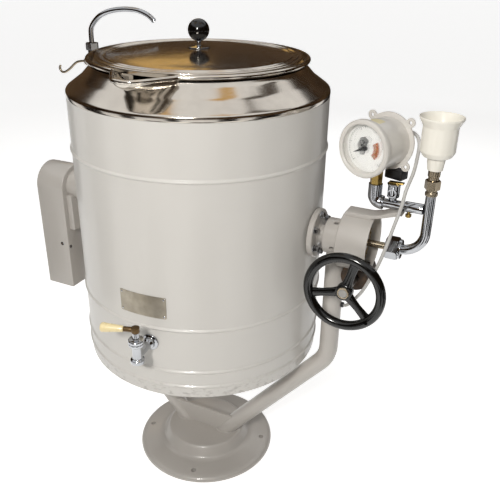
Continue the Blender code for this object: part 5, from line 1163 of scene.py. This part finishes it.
def build_gauge_case(sizes):
    """Pressed case, its eared rear flange, bezel, glass and the label on its top."""
    inner = sizes.case - 0.0022
    front = -0.0086
    back = -sizes.depth
    case = turned("case_shell", [
        (0.0, back + 0.006), (inner, back + 0.006), (inner, front), (sizes.case, front),
        (sizes.case, back + 0.030), (sizes.case - 0.0012, back + 0.028), (sizes.case - 0.0012, back + 0.001),
        (0.0, back + 0.001)], 128, 0.0006, gauge_frame())
    flange = prism("case_flange", flange_outline(), 0.004, gauge_frame(sizes.depth - 0.002), 0.0006,
                   [arc((x, y), 0.0034, 0.0, 345.0, 24)
                    for x in (GAUGE_LUG, -GAUGE_LUG) for y in (GAUGE_LUG, -GAUGE_LUG)])
    gland = rod("case_gland", 0.007, 0.011, facing(gauge_frame(sizes.depth + 0.009, GAUGE_GLAND).translation,
                                                   tuple(-GAUGE_AXIS)), 40, 0.0008)
    dress(merged("gauge_case_surface", [case, flange, gland]), "stand", "gauge_enamel", "gauge_case")
    skirt = sizes.case + 0.0003
    bezel = turned("gauge_bezel_surface", [
        (sizes.bezel - 0.0025, 0.0), (sizes.bezel, -0.0030), (sizes.bezel, -0.012), (skirt, -0.012),
        (skirt, -0.0055), (sizes.opening, -0.0055), (sizes.opening, -0.0020), (sizes.opening + 0.002, 0.0)],
        128, 0.0010, gauge_frame())
    dress(bezel, "stand", "gauge_enamel", "gauge_bezel")
    glass = turned("gauge_glass_surface", [(0.0, -0.0058), (sizes.opening + 0.002, -0.0058),
                                           (sizes.opening + 0.002, -0.0083), (0.0, -0.0083)], 96, 0.0,
                                           gauge_frame())
    dress(glass, "stand", "clear_glass", "gauge_glass")
    over, under = sizes.case + 0.0004, sizes.case - 0.0004
    label = turned("gauge_label", [(over, 0.010), (over, -0.010), (under, -0.010), (under, 0.010)], 128, 0.0)
    window = block("label_window", (0.030, 0.040, 0.020), at(y=0.050), 0.0005)
    label = moved(cut_by(label, [window], "INTERSECT"), gauge_frame(0.038))
    dress(label, "stand", "gauge_enamel", finish="label")


def build_gauge_face(sizes):
    """Dial with its scale, contact plates, terminal plate and pointer."""
    seat = sizes.dial
    inner = sizes.case - 0.0028
    under = -seat - 0.0015
    dial = turned("dial_surface", [(0.0, -seat), (inner, -seat), (inner, under), (0.0, under)], 96, 0.0,
                  gauge_frame())
    dress(dial, "stand", "white_dial", "gauge_dial")
    start = math.radians(-45.0)
    sweep = math.radians(270.0)
    print_plane = gauge_frame(seat - 0.0001)
    kinds = (("fine_marks", sizes.marks, 0.0405, 0.0030, 0.0004),
             ("long_marks", (sizes.marks - 1) // 8 + 1, 0.0395, 0.0060, 0.0009))
    for name, count, reach, mark, width in kinds:
        marks = pattern("dial_" + name, "marks", count, reach, (mark, width), print_plane, start,
                        sweep * count / (count - 1), "printed_black")
        dress(marks, "stand", "white_dial", finish="printed_black")
    ring = prism("dial_scale_line", sector(0.0424, 0.0420, -45.0, 225.0, 61), 0.0002, print_plane)
    dress(ring, "stand", "white_dial", finish="printed_black")
    plate_plane = gauge_frame(seat - 0.0018)
    screw_plane = gauge_frame(seat - 0.0033)
    plates = prism("contacts_surface", [
        (-0.021, 0.002), (-0.015, 0.016), (-0.006, 0.019), (0.001, 0.014),
        (-0.002, 0.005), (-0.004, -0.004), (-0.006, -0.013), (-0.013, -0.014)], 0.0028, plate_plane, 0.0003)
    dress(plates, "stand", "bare_steel", "gauge_contacts", finish="mill_stainless")
    backing = prism("contacts_backing", [
        (-0.0222, 0.0022), (-0.0160, 0.0172), (-0.0060, 0.0203), (0.0022, 0.0146),
        (-0.0008, 0.0050), (-0.0026, -0.0044), (-0.0050, -0.0142), (-0.0138, -0.0152)],
        0.0010, gauge_frame(seat - 0.0007), 0.0002)
    dress(backing, "stand", "bare_steel", finish="black_plastic")
    coils = ((-0.0105, 0.0095, 0.0052), (-0.0125, -0.0045, 0.0042), (-0.0055, 0.0020, 0.0030))
    for i, (x, y, radius) in enumerate(coils):
        outer, inner = arc((x, y), radius, 0.0, 350.0, 32), arc((x, y), radius - 0.0013, 0.0, 350.0, 32)
        coil = prism("contact_coil_%d" % i, outer, 0.0010, gauge_frame(seat - 0.0037), 0.0003, [inner])
        dress(coil, "stand", "bare_steel", finish="black_plastic" if i else "printed_black")
    board = sector(0.028, 0.017, -42.0, 34.0, 25)
    board = prism("terminal_board_surface", board, 0.0028, plate_plane, 0.0003)
    dress(board, "stand", "orange_resin", "gauge_terminal_plate")
    studs = pattern("board_studs", "domes", 4, 0.0225, (0.0019, 0.0012), screw_plane,
                    math.radians(-32.0), math.radians(75.0), "brass")
    dress(studs, "stand", "orange_resin", finish="brass")
    rivets = pattern("contact_screws", "domes", 3, 0.0115, (0.0020, 0.0011), screw_plane,
                     math.radians(115.0), math.radians(150.0), "black_plastic")
    dress(rivets, "stand", "bare_steel", finish="black_plastic")
    pointer_depth = seat - 0.0045
    needle = prism("pointer_needle", [(-0.0035, 0.0035), (-0.0270, -0.0118), (-0.0275, -0.0130),
                                      (0.0020, -0.0040), (0.0040, 0.0020)], 0.0010,
                                      gauge_frame(pointer_depth), 0.0002)
    hub = rod("pointer_hub", 0.0042, 0.0020, gauge_frame(pointer_depth + 0.0005), 32, 0.0004)
    dress(merged("pointer_surface", [needle, hub]), "pointer", "black_plastic", "gauge_pointer")


def build_terminal_box():
    """Moulded box under the gauge's rear flange."""
    low, high = BOX["gauge_terminal_box"]
    centre = gauge_frame(0.0967, 0.022).translation
    height = high.z - low.z
    turn = math.atan2(GAUGE_AXIS.x, GAUGE_AXIS.y)
    place = at(centre.x, centre.y, (low.z + high.z) / 2) @ Matrix.Rotation(-turn, 4, "Z")
    box = block("terminal_box_surface", (0.040, 0.026, height), place, 0.003)
    over = GAUGE_DISC_R + 0.0006
    clear = turned("flange_clear", [(0.0, 0.03), (over, 0.03), (over, -0.03), (0.0, -0.03)], 96, 0.0,
                   gauge_frame(GAUGE_BACK))
    dress(cut_by(box, [clear]), "stand", "black_plastic", "gauge_terminal_box")


def cable_route():
    """Listed points from the gland at the gauge's back into the right-hand arm."""
    start = gauge_frame(0.1020, GAUGE_GLAND).translation
    straight = gauge_frame(0.1047, GAUGE_GLAND).translation
    end = (BOX["gauge_cable"][0].x, 0.0, CABLE_END_Z)
    return (
        tuple(start),
        tuple(straight),
        (0.4400, 0.0720, 0.9110),
        (0.4580, 0.0700, 0.9080),
        (0.4700, 0.0520, 0.8960),
        (0.4738, 0.0300, 0.8758),
        (0.4754, 0.0000, 0.8509),
        (0.4719, -0.0300, 0.8257),
        (0.4674, -0.0350, 0.7906),
        (0.4576, -0.0400, 0.7446),
        (0.4492, -0.0450, 0.7048),
        (0.4381, -0.0480, 0.6620),
        (0.4233, -0.0450, 0.6233),
        (0.4080, -0.0400, 0.5880),
        (0.3850, -0.0240, 0.5500),
        (0.3690, -0.0070, 0.5270),
        (0.3620, 0.0000, CABLE_END_Z),
        end,
    )


def build_cable():
    """Signal cable, held at both ends."""
    cable = tube("cable_surface", flowing(cable_route(), 0.006), CABLE_R, 6)
    dress(cable, "stand", "grey_cable", "gauge_cable")
    entry = facing((BOX["gauge_cable"][0].x - 0.0005, 0.0, CABLE_END_Z), RIGHT)
    ferrule = rod("cable_entry", 0.0062, 0.006, entry, 32, 0.001)
    dress(ferrule, "stand", "black_plastic")


# The left-hand side.


PLATE_GAP = 0.0003
PLATE_HEIGHT = 0.094
COVER_R = 0.055
COVER_MIDDLE_Z = 0.680
COVER_SHEET = 0.0018


def build_left_bearing(sizes):
    """Left-hand bearing collar with the plate that carries the cover."""
    low, high = BOX["left_bearing"]
    reach = high.x - low.x
    collar = turned("left_collar", [
        (sizes.collar_radius, reach), (sizes.collar_radius, 0.002), (sizes.collar_radius - 0.002, 0.0),
        (BUSH_R, 0.0), (BUSH_R, COLLAR_WEB), (COLLAR_BORE, COLLAR_WEB), (COLLAR_BORE, reach)], 96, 0.0012,
        on_trunnion(high.x, -1))
    thick = -low.x - (ARM_X + ARM_R + PLATE_GAP)
    plate = block("left_plate", (thick, 0.086, PLATE_HEIGHT),
                  at(low.x + thick / 2, 0.0, TRUNNION_Z - 0.018 - PLATE_HEIGHT / 2), 0.001)
    bore = rod("left_bore", 0.0385, 0.2, on_trunnion(-0.25, -1), 96, 0.0)
    plate = cut_by(plate, [bore])
    dress(merged("left_bearing_surface", [collar, plate]), "stand", "stand_enamel", "left_bearing")


def cover_outline(shrink, foot):
    radius = COVER_R - shrink
    top = arc((0.0, COVER_MIDDLE_Z), radius, 0.0, 180.0, 49)
    return [(radius, foot + shrink)] + top + [(-radius, foot + shrink)]


def build_left_cover():
    """Folded sheet cover with its window, screws and the terminal block behind it."""
    low, high = BOX["left_cover"]
    width = high.x - low.x
    middle = facing(((low.x + high.x) / 2, 0.0, 0.0), RIGHT)
    cover = prism("cover_shell", cover_outline(0.0, low.z), width, middle, 0.002)
    hollow = prism("cover_hollow", cover_outline(COVER_SHEET, low.z), width - 2 * COVER_SHEET, middle)
    window = block("cover_window", (0.02, 0.060, 0.085), at(high.x, 0.0, 0.6175), 0.002)
    shaft = rod("cover_shaft", 0.023, 0.02, on_trunnion(high.x - 0.01), 48, 0.0)
    dress(cut_by(cover, [hollow, window, shaft]), "stand", "stand_enamel", "left_cover")
    heads = (
        ("front", (high.x - 0.0004, -0.0484, 0.5256), RIGHT),
        ("back", (high.x - 0.0004, 0.0484, 0.5256), RIGHT),
        ("side", (-0.3916, -0.0546, 0.5323), FRONT),
        ("far_side", (-0.3916, 0.0546, 0.5323), BACK),
    )
    for label, place, normal in heads:
        washer = rod("cover_washer_" + label, 0.0050, 0.0009, facing(place, normal), 32, 0.0002)
        dress(washer, "stand", "chrome_plate")
        screw = pattern("cover_screw_" + label, "domes", 1, 0.0, (0.0034, 0.0030), facing(place, normal))
        dress(screw, "stand", "chrome_plate", finish="dark_iron")
    low, high = BOX["terminal_block"]
    body = block("terminal_block_surface", high - low, Matrix.Translation((low + high) / 2), 0.0015)
    wells = [rod("well_%d" % i, 0.0032, 0.012,
                 facing((low.x - 0.001, low.y + (i + 0.5) * (high.y - low.y) / 4, (low.z + high.z) / 2),
                        RIGHT), 24, 0.0) for i in range(4)]
    dress(cut_by(body, wells), "stand", "black_plastic", "terminal_block", finish="block_plastic")


# The water line.


GOOSENECK_SHAPE = (
    (0.000, 1.0400), (0.0025, 1.0560), (0.0130, 1.0715), (0.0280, 1.0845), (0.0490, 1.0945), (0.0755, 1.1005),
    (0.1020, 1.1025), (0.1280, 1.1005), (0.1490, 1.0935), (0.1620, 1.0850), (0.1690, 1.0780),
)
GOOSENECK_TURN = 10.0
GOOSENECK_R = 0.0060


def build_water_line():
    """Riser, faucet body, nut, swan-necked spout and lever."""
    x, y = AXIS["faucet_swivel"].x, AXIS["faucet_swivel"].y
    low, high = BOX["water_riser"]
    riser = turned("riser_surface", [(0.0085, high.z), (0.0085, low.z), (0.0063, low.z), (0.0063, high.z)],
                   48, 0.0004, at(x, y, 0.0))
    dress(riser, "stand", "chrome_plate", "water_riser")
    low, high = BOX["faucet_body"]
    body = turned("faucet_column", [
        (0.0, high.z), (0.0110, high.z), (0.0110, high.z - 0.008), (0.0140, high.z - 0.012),
        (0.0140, low.z + 0.014), (0.0115, low.z + 0.011), (0.0115, low.z), (0.0, low.z)], 64, 0.0012,
        at(x, y, 0.0))
    plug = AXIS["faucet_lever_turn"]
    boss = rod("faucet_boss", 0.0095, 0.022, facing((x, y, plug.z), FRONT), 40, 0.001)
    dress(merged("faucet_body_surface", [body, boss]), "stand", "chrome_plate", "faucet_body")
    low, high = BOX["faucet_nut"]
    ring = nut("faucet_nut_surface", 0.0165, high.z - low.z, at(x, y, low.z))
    ring = cut_by(ring, [rod("nut_bore", 0.0063, 0.05, at(x, y, low.z - 0.01), 40, 0.0)])
    dress(ring, "stand", "chrome_plate", "faucet_nut")
    turn = math.radians(GOOSENECK_TURN)
    shape = ((0.0, BOX["gooseneck"][0].z),) + GOOSENECK_SHAPE
    points = flowing([(x + s * math.cos(turn), y + s * math.sin(turn), z) for s, z in shape], 0.004)
    neck = tube("gooseneck_tube", points, GOOSENECK_R, 8)
    along = (points[-1] - points[-2]).normalized()
    mouth = rod("neck_mouth", 0.0045, 0.030, facing(points[-1] - along * 0.020, along), 32, 0.0)
    dress(cut_by(neck, [mouth]), "faucet_spout", "chrome_plate", "gooseneck")
    lever_y = (BOX["faucet_lever"][0].y + BOX["faucet_lever"][1].y) / 2
    path = [(0.004, 0.002), (-0.030, -0.004), (-0.055, -0.022), (-0.072, -0.032), (-0.083, -0.032),
            (-0.088, -0.024), (-0.085, -0.017)]
    bar = tube("lever_bar", flowing([(x + a, lever_y, plug.z + b) for a, b in path], 0.003), 0.0029, 6)
    disc = rod("lever_disc", 0.0085, 0.005, facing((x, lever_y + 0.0025, plug.z), FRONT), 40, 0.0012)
    dress(merged("faucet_lever_surface", [bar, disc]), "faucet_handle", "bronze", "faucet_lever",
          finish="warm_nickel")


# The nameplate and the level tap.


PLATE_ANGLE = 2.9
PLATE_WIDTH = 0.108
RIVET_INSET = 0.005
TAP_ANGLE = 6.0
TAP_REACH = 0.058
TAP_DROP = 0.0578
TAP_LEVER_TURN = 18.4


def build_nameplate(sizes):
    """Bare plate that follows the casing, with four rivets."""
    low, high = BOX["nameplate"]
    seat = sizes.radius + 0.0002
    angle = math.radians(PLATE_ANGLE)
    band = turned("nameplate_band", [(seat + 0.0012, high.z + 0.01), (seat + 0.0012, low.z - 0.01),
                                     (seat, low.z - 0.01), (seat, high.z + 0.01)], 256, 0.0)
    middle = (low.z + high.z) / 2
    window = block("plate_window", (PLATE_WIDTH, 0.08, high.z - low.z),
                   Matrix.Rotation(angle, 4, "Z") @ at(0.0, -sizes.radius, middle), 0.002)
    plate = cut_by(band, [window], "INTERSECT")
    dress(plate, "kettle", "nickel_plate", "nameplate")
    half_height = (high.z - low.z) / 2 - RIVET_INSET
    for i, (across, up) in enumerate(((1, 1), (1, -1), (-1, 1), (-1, -1))):
        lean = angle + across * math.asin((PLATE_WIDTH / 2 - RIVET_INSET) / sizes.radius)
        out = (math.sin(lean), -math.cos(lean), 0.0)
        place = Vector(out) * (seat + 0.0010) + Vector((0.0, 0.0, middle + up * half_height))
        rivet = pattern("plate_rivet_%d" % i, "domes", 1, 0.0, (0.0023, 0.0010), facing(place, out))
        dress(rivet, "kettle", "chrome_plate")


def tap_frame(sizes, reach, z, upright=False):
    """A frame in front of the casing, facing outwards or standing upright."""
    angle = math.radians(TAP_ANGLE)
    out = Vector((math.sin(angle), -math.cos(angle), 0.0))
    place = out * (sizes.radius + 0.0003 + reach) + Vector((0.0, 0.0, z))
    return Matrix.Translation(place) if upright else facing(place, out)


def build_level_tap(sizes):
    """Level tap with its rosette, plug column, lever and cream handle."""
    pivot = AXIS["level_tap_turn"]
    z = pivot.z - TAP_DROP
    rosette = turned("tap_arm", [(0.0, TAP_REACH), (0.0085, TAP_REACH), (0.0085, 0.016), (0.0125, 0.012),
                                 (0.0125, 0.006), (0.0185, 0.004), (0.0185, 0.0), (0.0, 0.0)], 64, 0.0012,
                     tap_frame(sizes, 0.0, z))
    column = turned("tap_column", [
        (0.0, 0.0575), (0.0070, 0.0575), (0.0070, 0.0435), (0.0150, 0.0425), (0.0165, 0.0405),
        (0.0165, 0.0365), (0.0158, 0.0350), (0.0165, 0.0335), (0.0165, 0.0290), (0.0150, 0.0270),
        (0.0100, 0.0250), (0.0100, -0.0030), (0.0148, -0.0060), (0.0148, -0.0140), (0.0085, -0.0140),
        (0.0085, -0.0062), (0.0, -0.0062)], 64, 0.0010, tap_frame(sizes, TAP_REACH, z, True))
    dress(merged("level_tap_surface", [rosette, column]), "kettle", "chrome_plate", "level_tap_body")
    swing = math.radians(TAP_LEVER_TURN)
    along = Vector((-math.cos(swing), -math.sin(swing), 0.0))
    start = pivot + Vector((0.0, 0.0, 0.006))
    ferrule = rod("lever_ferrule", 0.0055, 0.024, facing(start, along), 32, 0.0008)
    hub = rod("lever_hub", 0.0085, 0.012, Matrix.Translation(pivot), 40, 0.0012)
    dress(merged("tap_lever_surface", [ferrule, hub]), "tap_handle", "bronze", "level_tap_lever")
    grip = turned("tap_grip_surface", [(0.0, 0.0480), (0.0075, 0.0475), (0.0100, 0.0450), (0.0100, 0.0410),
                                       (0.0082, 0.0220), (0.0065, 0.0), (0.0, 0.0)], 48, 0.0025,
                  facing(start + along * 0.0243, along))
    dress(grip, "tap_handle", "cream_plastic", "level_tap_handle")


# The stage.


def add_lamp(name, place, aim, size, power, colour, mirrored=True):
    """A square softbox that looks at a point. Mirrors may or may not see it."""
    light = bpy.data.lights.new(name, "AREA")
    light.shape = "RECTANGLE"
    light.size, light.size_y = size
    light.energy = power
    light.color = linear(colour)
    lamp = bpy.data.objects.new(name, light)
    lamp.visible_glossy = mirrored
    lamp.location = place
    lamp.rotation_euler = (Vector(aim) - Vector(place)).to_track_quat("-Z", "Y").to_euler()
    bpy.context.scene.collection.objects.link(lamp)


def shiny_rays(tree):
    """One for rays that the camera, a glossy surface or clear glass sends out."""
    rays = add_node(tree, "ShaderNodeLightPath").outputs
    mirrored = maths(tree, "MAXIMUM", rays["Is Glossy Ray"], rays["Is Transmission Ray"])
    return maths(tree, "MAXIMUM", rays["Is Camera Ray"], mirrored)


def build_floor(stage):
    """A pale floor that takes the shadow, and looks white where it is fully lit."""
    shape = bmesh.new()
    bmesh.ops.create_grid(shape, x_segments=1, y_segments=1, size=30.0)
    floor = finished("floor", shape)
    material, tree, shader = start_finish("pale_floor", tuple(stage.floor), {"Roughness": 0.75})
    shader.inputs["Emission Color"].default_value = (1.0, 1.0, 1.0, 1.0)
    tree.links.new(maths(tree, "MULTIPLY", shiny_rays(tree), stage.lift), shader.inputs["Emission Strength"])
    floor.data.materials.append(material)


def glowing(name, code, other=None, size_m=1.0):
    """A card that only mirrors see: one colour, or a cloudy mix of two."""
    material = bpy.data.materials.new(name)
    material.use_nodes = True
    tree = material.node_tree
    tree.nodes.clear()
    glow = add_node(tree, "ShaderNodeEmission", None, {"Color": (*linear(code), 1.0), "Strength": 1.0})
    if other:
        mix = add_node(tree, "ShaderNodeMix", {"data_type": "RGBA"})
        tree.links.new(mottled(tree, size_m * 1000.0, 0.0, 1.0, 2.0, (1.0, 1.0, 0.5)), mix.inputs[0])
        mix.inputs[6].default_value = (*linear(code), 1.0)
        mix.inputs[7].default_value = (*linear(other), 1.0)
        tree.links.new(mix.outputs[2], glow.inputs["Color"])
    add_node(tree, "ShaderNodeOutputMaterial", None, {"Surface": glow.outputs[0]})
    return material


def hide_from_light(card, material):
    """Let only reflections see a card."""
    card.data.materials.append(material)
    card.visible_camera = False
    card.visible_diffuse = False
    card.visible_transmission = False
    card.visible_shadow = False


def add_card(name, place, size, code):
    """A flat card that faces the kettle's lid."""
    shape = bmesh.new()
    bmesh.ops.create_grid(shape, x_segments=1, y_segments=1, size=0.5)
    bmesh.ops.scale(shape, vec=(*size, 1.0), verts=shape.verts)
    aim = Vector((0.0, 0.0, 1.0)) - Vector(place)
    card = moved(finished(name, shape), facing(place, aim))
    hide_from_light(card, glowing(name, code))


def panel_ring(name, reach, level, height, code, panels):
    """Cards that stand round the kettle, each at an angle and of a width."""
    for i, (angle, width) in enumerate(panels):
        turn = math.radians(angle)
        place = (reach * math.cos(turn), reach * math.sin(turn), level)
        add_card("%s_%d" % (name, i), place, (width, height), code)


def build_room():
    """A dark, brownish room round the stage that polished metal mirrors."""
    wall = turned("room_wall", [(4.5, 3.9), (4.5, 0.3), (4.55, 0.3), (4.55, 3.9)], 96, 0.0)
    hide_from_light(wall, glowing("room_wall", "#120D09", "#57432F", 1.4))
    for name, place, size, code in (
            ("warm_patch", (-1.9, 2.3, 2.22), (1.15, 0.42), "#E9BE74"),
            ("warm_ceiling_left", (-0.9, -0.6, 3.4), (0.7, 0.9), "#E3B872"),
            ("warm_ceiling_right", (0.9, -0.2, 3.6), (0.5, 0.9), "#E0B368"),
            ("beam_left", (-1.5, 0.4, 3.6), (0.5, 1.8), "#3A3029"),
            ("beam_right", (1.5, 1.0, 3.4), (0.6, 1.6), "#42362B")):
        add_card(name, place, size, code)
    panel_ring("dark_panel", 2.1, 0.35, 0.9, "#1C1713", (
        (-155, 0.9), (-118, 0.5), (-82, 0.4), (-38, 0.6), (-5, 0.9), (38, 0.8), (80, 1.1), (128, 0.8),
        (165, 0.5)))
    panel_ring("low_panel", 1.25, 0.05, 0.7, "#241D17", (
        (-150, 0.5), (-98, 0.35), (-58, 0.5), (-14, 0.35), (24, 0.6), (62, 0.4)))


def build_world():
    """A white background for the camera and for mirrors, over a plain level of soft light."""
    world = bpy.data.worlds.new("pale_room")
    bpy.context.scene.world = world
    world.use_nodes = True
    tree = world.node_tree
    tree.nodes.clear()
    soft = add_node(tree, "ShaderNodeBackground", None, {"Color": (1.0, 1.0, 1.0, 1.0), "Strength": 0.24})
    white = add_node(tree, "ShaderNodeBackground", None, {"Color": (1.0, 1.0, 1.0, 1.0), "Strength": 1.0})
    either = add_node(tree, "ShaderNodeMixShader", None, {0: shiny_rays(tree), 1: soft.outputs[0],
                                                          2: white.outputs[0]})
    add_node(tree, "ShaderNodeOutputWorld", None, {"Surface": either.outputs[0]})


def build_camera(stage):
    forward = Vector(stage.aim).normalized()
    right = forward.cross(Vector((0.0, 0.0, 1.0))).normalized()
    up = right.cross(forward)
    right = right * math.cos(stage.roll) + up * math.sin(stage.roll)
    up = right.cross(forward)
    data = bpy.data.cameras.new("camera")
    data.lens = stage.lens
    data.sensor_width = 36.0
    data.clip_end = 100.0
    camera = bpy.data.objects.new("camera", data)
    rows = [(right[i], up[i], -forward[i], stage.camera[i]) for i in range(3)]
    camera.matrix_world = Matrix(rows + [(0.0, 0.0, 0.0, 1.0)])
    bpy.context.scene.collection.objects.link(camera)
    bpy.context.scene.camera = camera


# Operators.


class KETTLE_OT_finishes(bpy.types.Operator):
    """Make the materials, and give each solid its finish"""
    bl_idname = "kettle.finishes"
    bl_label = "Finishes"

    def execute(self, context):
        make_finishes(context.scene.kettle_finishes)
        for name, obj in frame["nodes"].items():
            if SLOT.get(name) not in FINISH:
                raise RuntimeError("no finish for " + name)
            obj.data.materials.clear()
            obj.data.materials.append(FINISH[OWN_FINISH.get(name, SLOT[name])])
        return {"FINISHED"}


class Builder:
    """Runs an operator's steps, each on the groups of sizes that it names."""

    def execute(self, context):
        for build, *groups in self.steps:
            build(*(getattr(context.scene, group) for group in groups))
        return {"FINISHED"}


class KETTLE_OT_shell(Builder, bpy.types.Operator):
    """Build the casing, shoulder and vessel"""
    bl_idname = "kettle.shell"
    bl_label = "Shell"
    steps = ((build_casing, "kettle_shell"), (build_shoulder, "kettle_shell"), (build_vessel, "kettle_shell"))


class KETTLE_OT_lid(Builder, bpy.types.Operator):
    """Build the lid with its stem and knob"""
    bl_idname = "kettle.lid"
    bl_label = "Lid"
    steps = ((build_lid, "kettle_lid"),)


class KETTLE_OT_stand(Builder, bpy.types.Operator):
    """Build the pedestal and the fork"""
    bl_idname = "kettle.stand"
    bl_label = "Stand"
    steps = ((build_pedestal, "kettle_stand"), (build_arms, "kettle_stand", "kettle_drive"))


class KETTLE_OT_drive(Builder, bpy.types.Operator):
    """Build the trunnions, gear housing, worm case and handwheel"""
    bl_idname = "kettle.drive"
    bl_label = "Tilting drive"
    steps = ((build_gear_housing, "kettle_drive"), (build_trunnions, "kettle_drive"), (build_worm_case,),
             (build_handwheel, "kettle_drive"))


class KETTLE_OT_fittings(Builder, bpy.types.Operator):
    """Build the steam fittings and the funnel"""
    bl_idname = "kettle.fittings"
    bl_label = "Steam fittings"
    steps = ((build_bracket,), (build_steam_line,), (build_funnel,), (build_valves,))


class KETTLE_OT_gauge(Builder, bpy.types.Operator):
    """Build the contact gauge and its cable"""
    bl_idname = "kettle.gauge"
    bl_label = "Gauge"
    steps = ((build_gauge_case, "kettle_gauge"), (build_gauge_face, "kettle_gauge"), (build_terminal_box,),
             (build_cable,))


class KETTLE_OT_left_side(Builder, bpy.types.Operator):
    """Build the left-hand bearing, cover and water line"""
    bl_idname = "kettle.left_side"
    bl_label = "Left-hand side"
    steps = ((build_left_bearing, "kettle_drive"), (build_left_cover,), (build_water_line,))


class KETTLE_OT_front(Builder, bpy.types.Operator):
    """Build the nameplate and the level tap"""
    bl_idname = "kettle.front"
    bl_label = "Nameplate and tap"
    steps = ((build_nameplate, "kettle_shell"), (build_level_tap, "kettle_shell"))


class KETTLE_OT_stage(bpy.types.Operator):
    """Set up the floor, lamps, background and camera"""
    bl_idname = "kettle.stage"
    bl_label = "Stage"

    def execute(self, context):
        stage = context.scene.kettle_stage
        context.scene.view_settings.view_transform = "Standard"
        build_floor(stage)
        build_room()
        build_world()
        add_lamp("key_softbox", (0.55, -2.0, 1.85), (0.0, 0.0, 0.65), (0.3, 0.3), 33.0, "#FFFDF9")
        add_lamp("top_softbox", (-0.5, -0.6, 3.2), (0.0, 0.0, 0.5), (1.4, 1.4), 14.0, "#FFFEFB", False)
        add_lamp("back_softbox", (-0.6, 2.6, 2.2), (0.0, 0.0, 0.7), (1.8, 1.2), 20.0, "#FFFFFF", False)
        build_camera(stage)
        return {"FINISHED"}


OPERATORS = (KETTLE_OT_finishes, KETTLE_OT_shell, KETTLE_OT_lid, KETTLE_OT_stand, KETTLE_OT_drive,
             KETTLE_OT_fittings, KETTLE_OT_gauge, KETTLE_OT_left_side, KETTLE_OT_front, KETTLE_OT_stage)


class KETTLE_PT_panel(bpy.types.Panel):
    """Lists the kettle's groups of pieces"""
    bl_idname = "KETTLE_PT_panel"
    bl_label = "Cooking kettle"
    bl_space_type = "VIEW_3D"
    bl_region_type = "UI"
    bl_category = "Kettle"

    def draw(self, context):
        for operator in OPERATORS:
            self.layout.operator(operator.bl_idname)


GROUPS = {
    "kettle_finishes": KettleFinishes,
    "kettle_shell": KettleShell,
    "kettle_lid": KettleLid,
    "kettle_stand": KettleStand,
    "kettle_drive": KettleDrive,
    "kettle_gauge": KettleGauge,
    "kettle_stage": KettleStage,
}


def register():
    for name, group in GROUPS.items():
        bpy.utils.register_class(group)
        setattr(bpy.types.Scene, name, PointerProperty(type=group))
    for operator in OPERATORS:
        bpy.utils.register_class(operator)
    bpy.utils.register_class(KETTLE_PT_panel)


def unregister():
    bpy.utils.unregister_class(KETTLE_PT_panel)
    for operator in reversed(OPERATORS):
        bpy.utils.unregister_class(operator)
    for name, group in reversed(list(GROUPS.items())):
        delattr(bpy.types.Scene, name)
        bpy.utils.unregister_class(group)


def main():
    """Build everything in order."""
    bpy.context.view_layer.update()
    register()
    for operator in OPERATORS:
        group, name = operator.bl_idname.split(".")
        getattr(getattr(bpy.ops, group), name)()


if __name__ == "__main__":
    main()
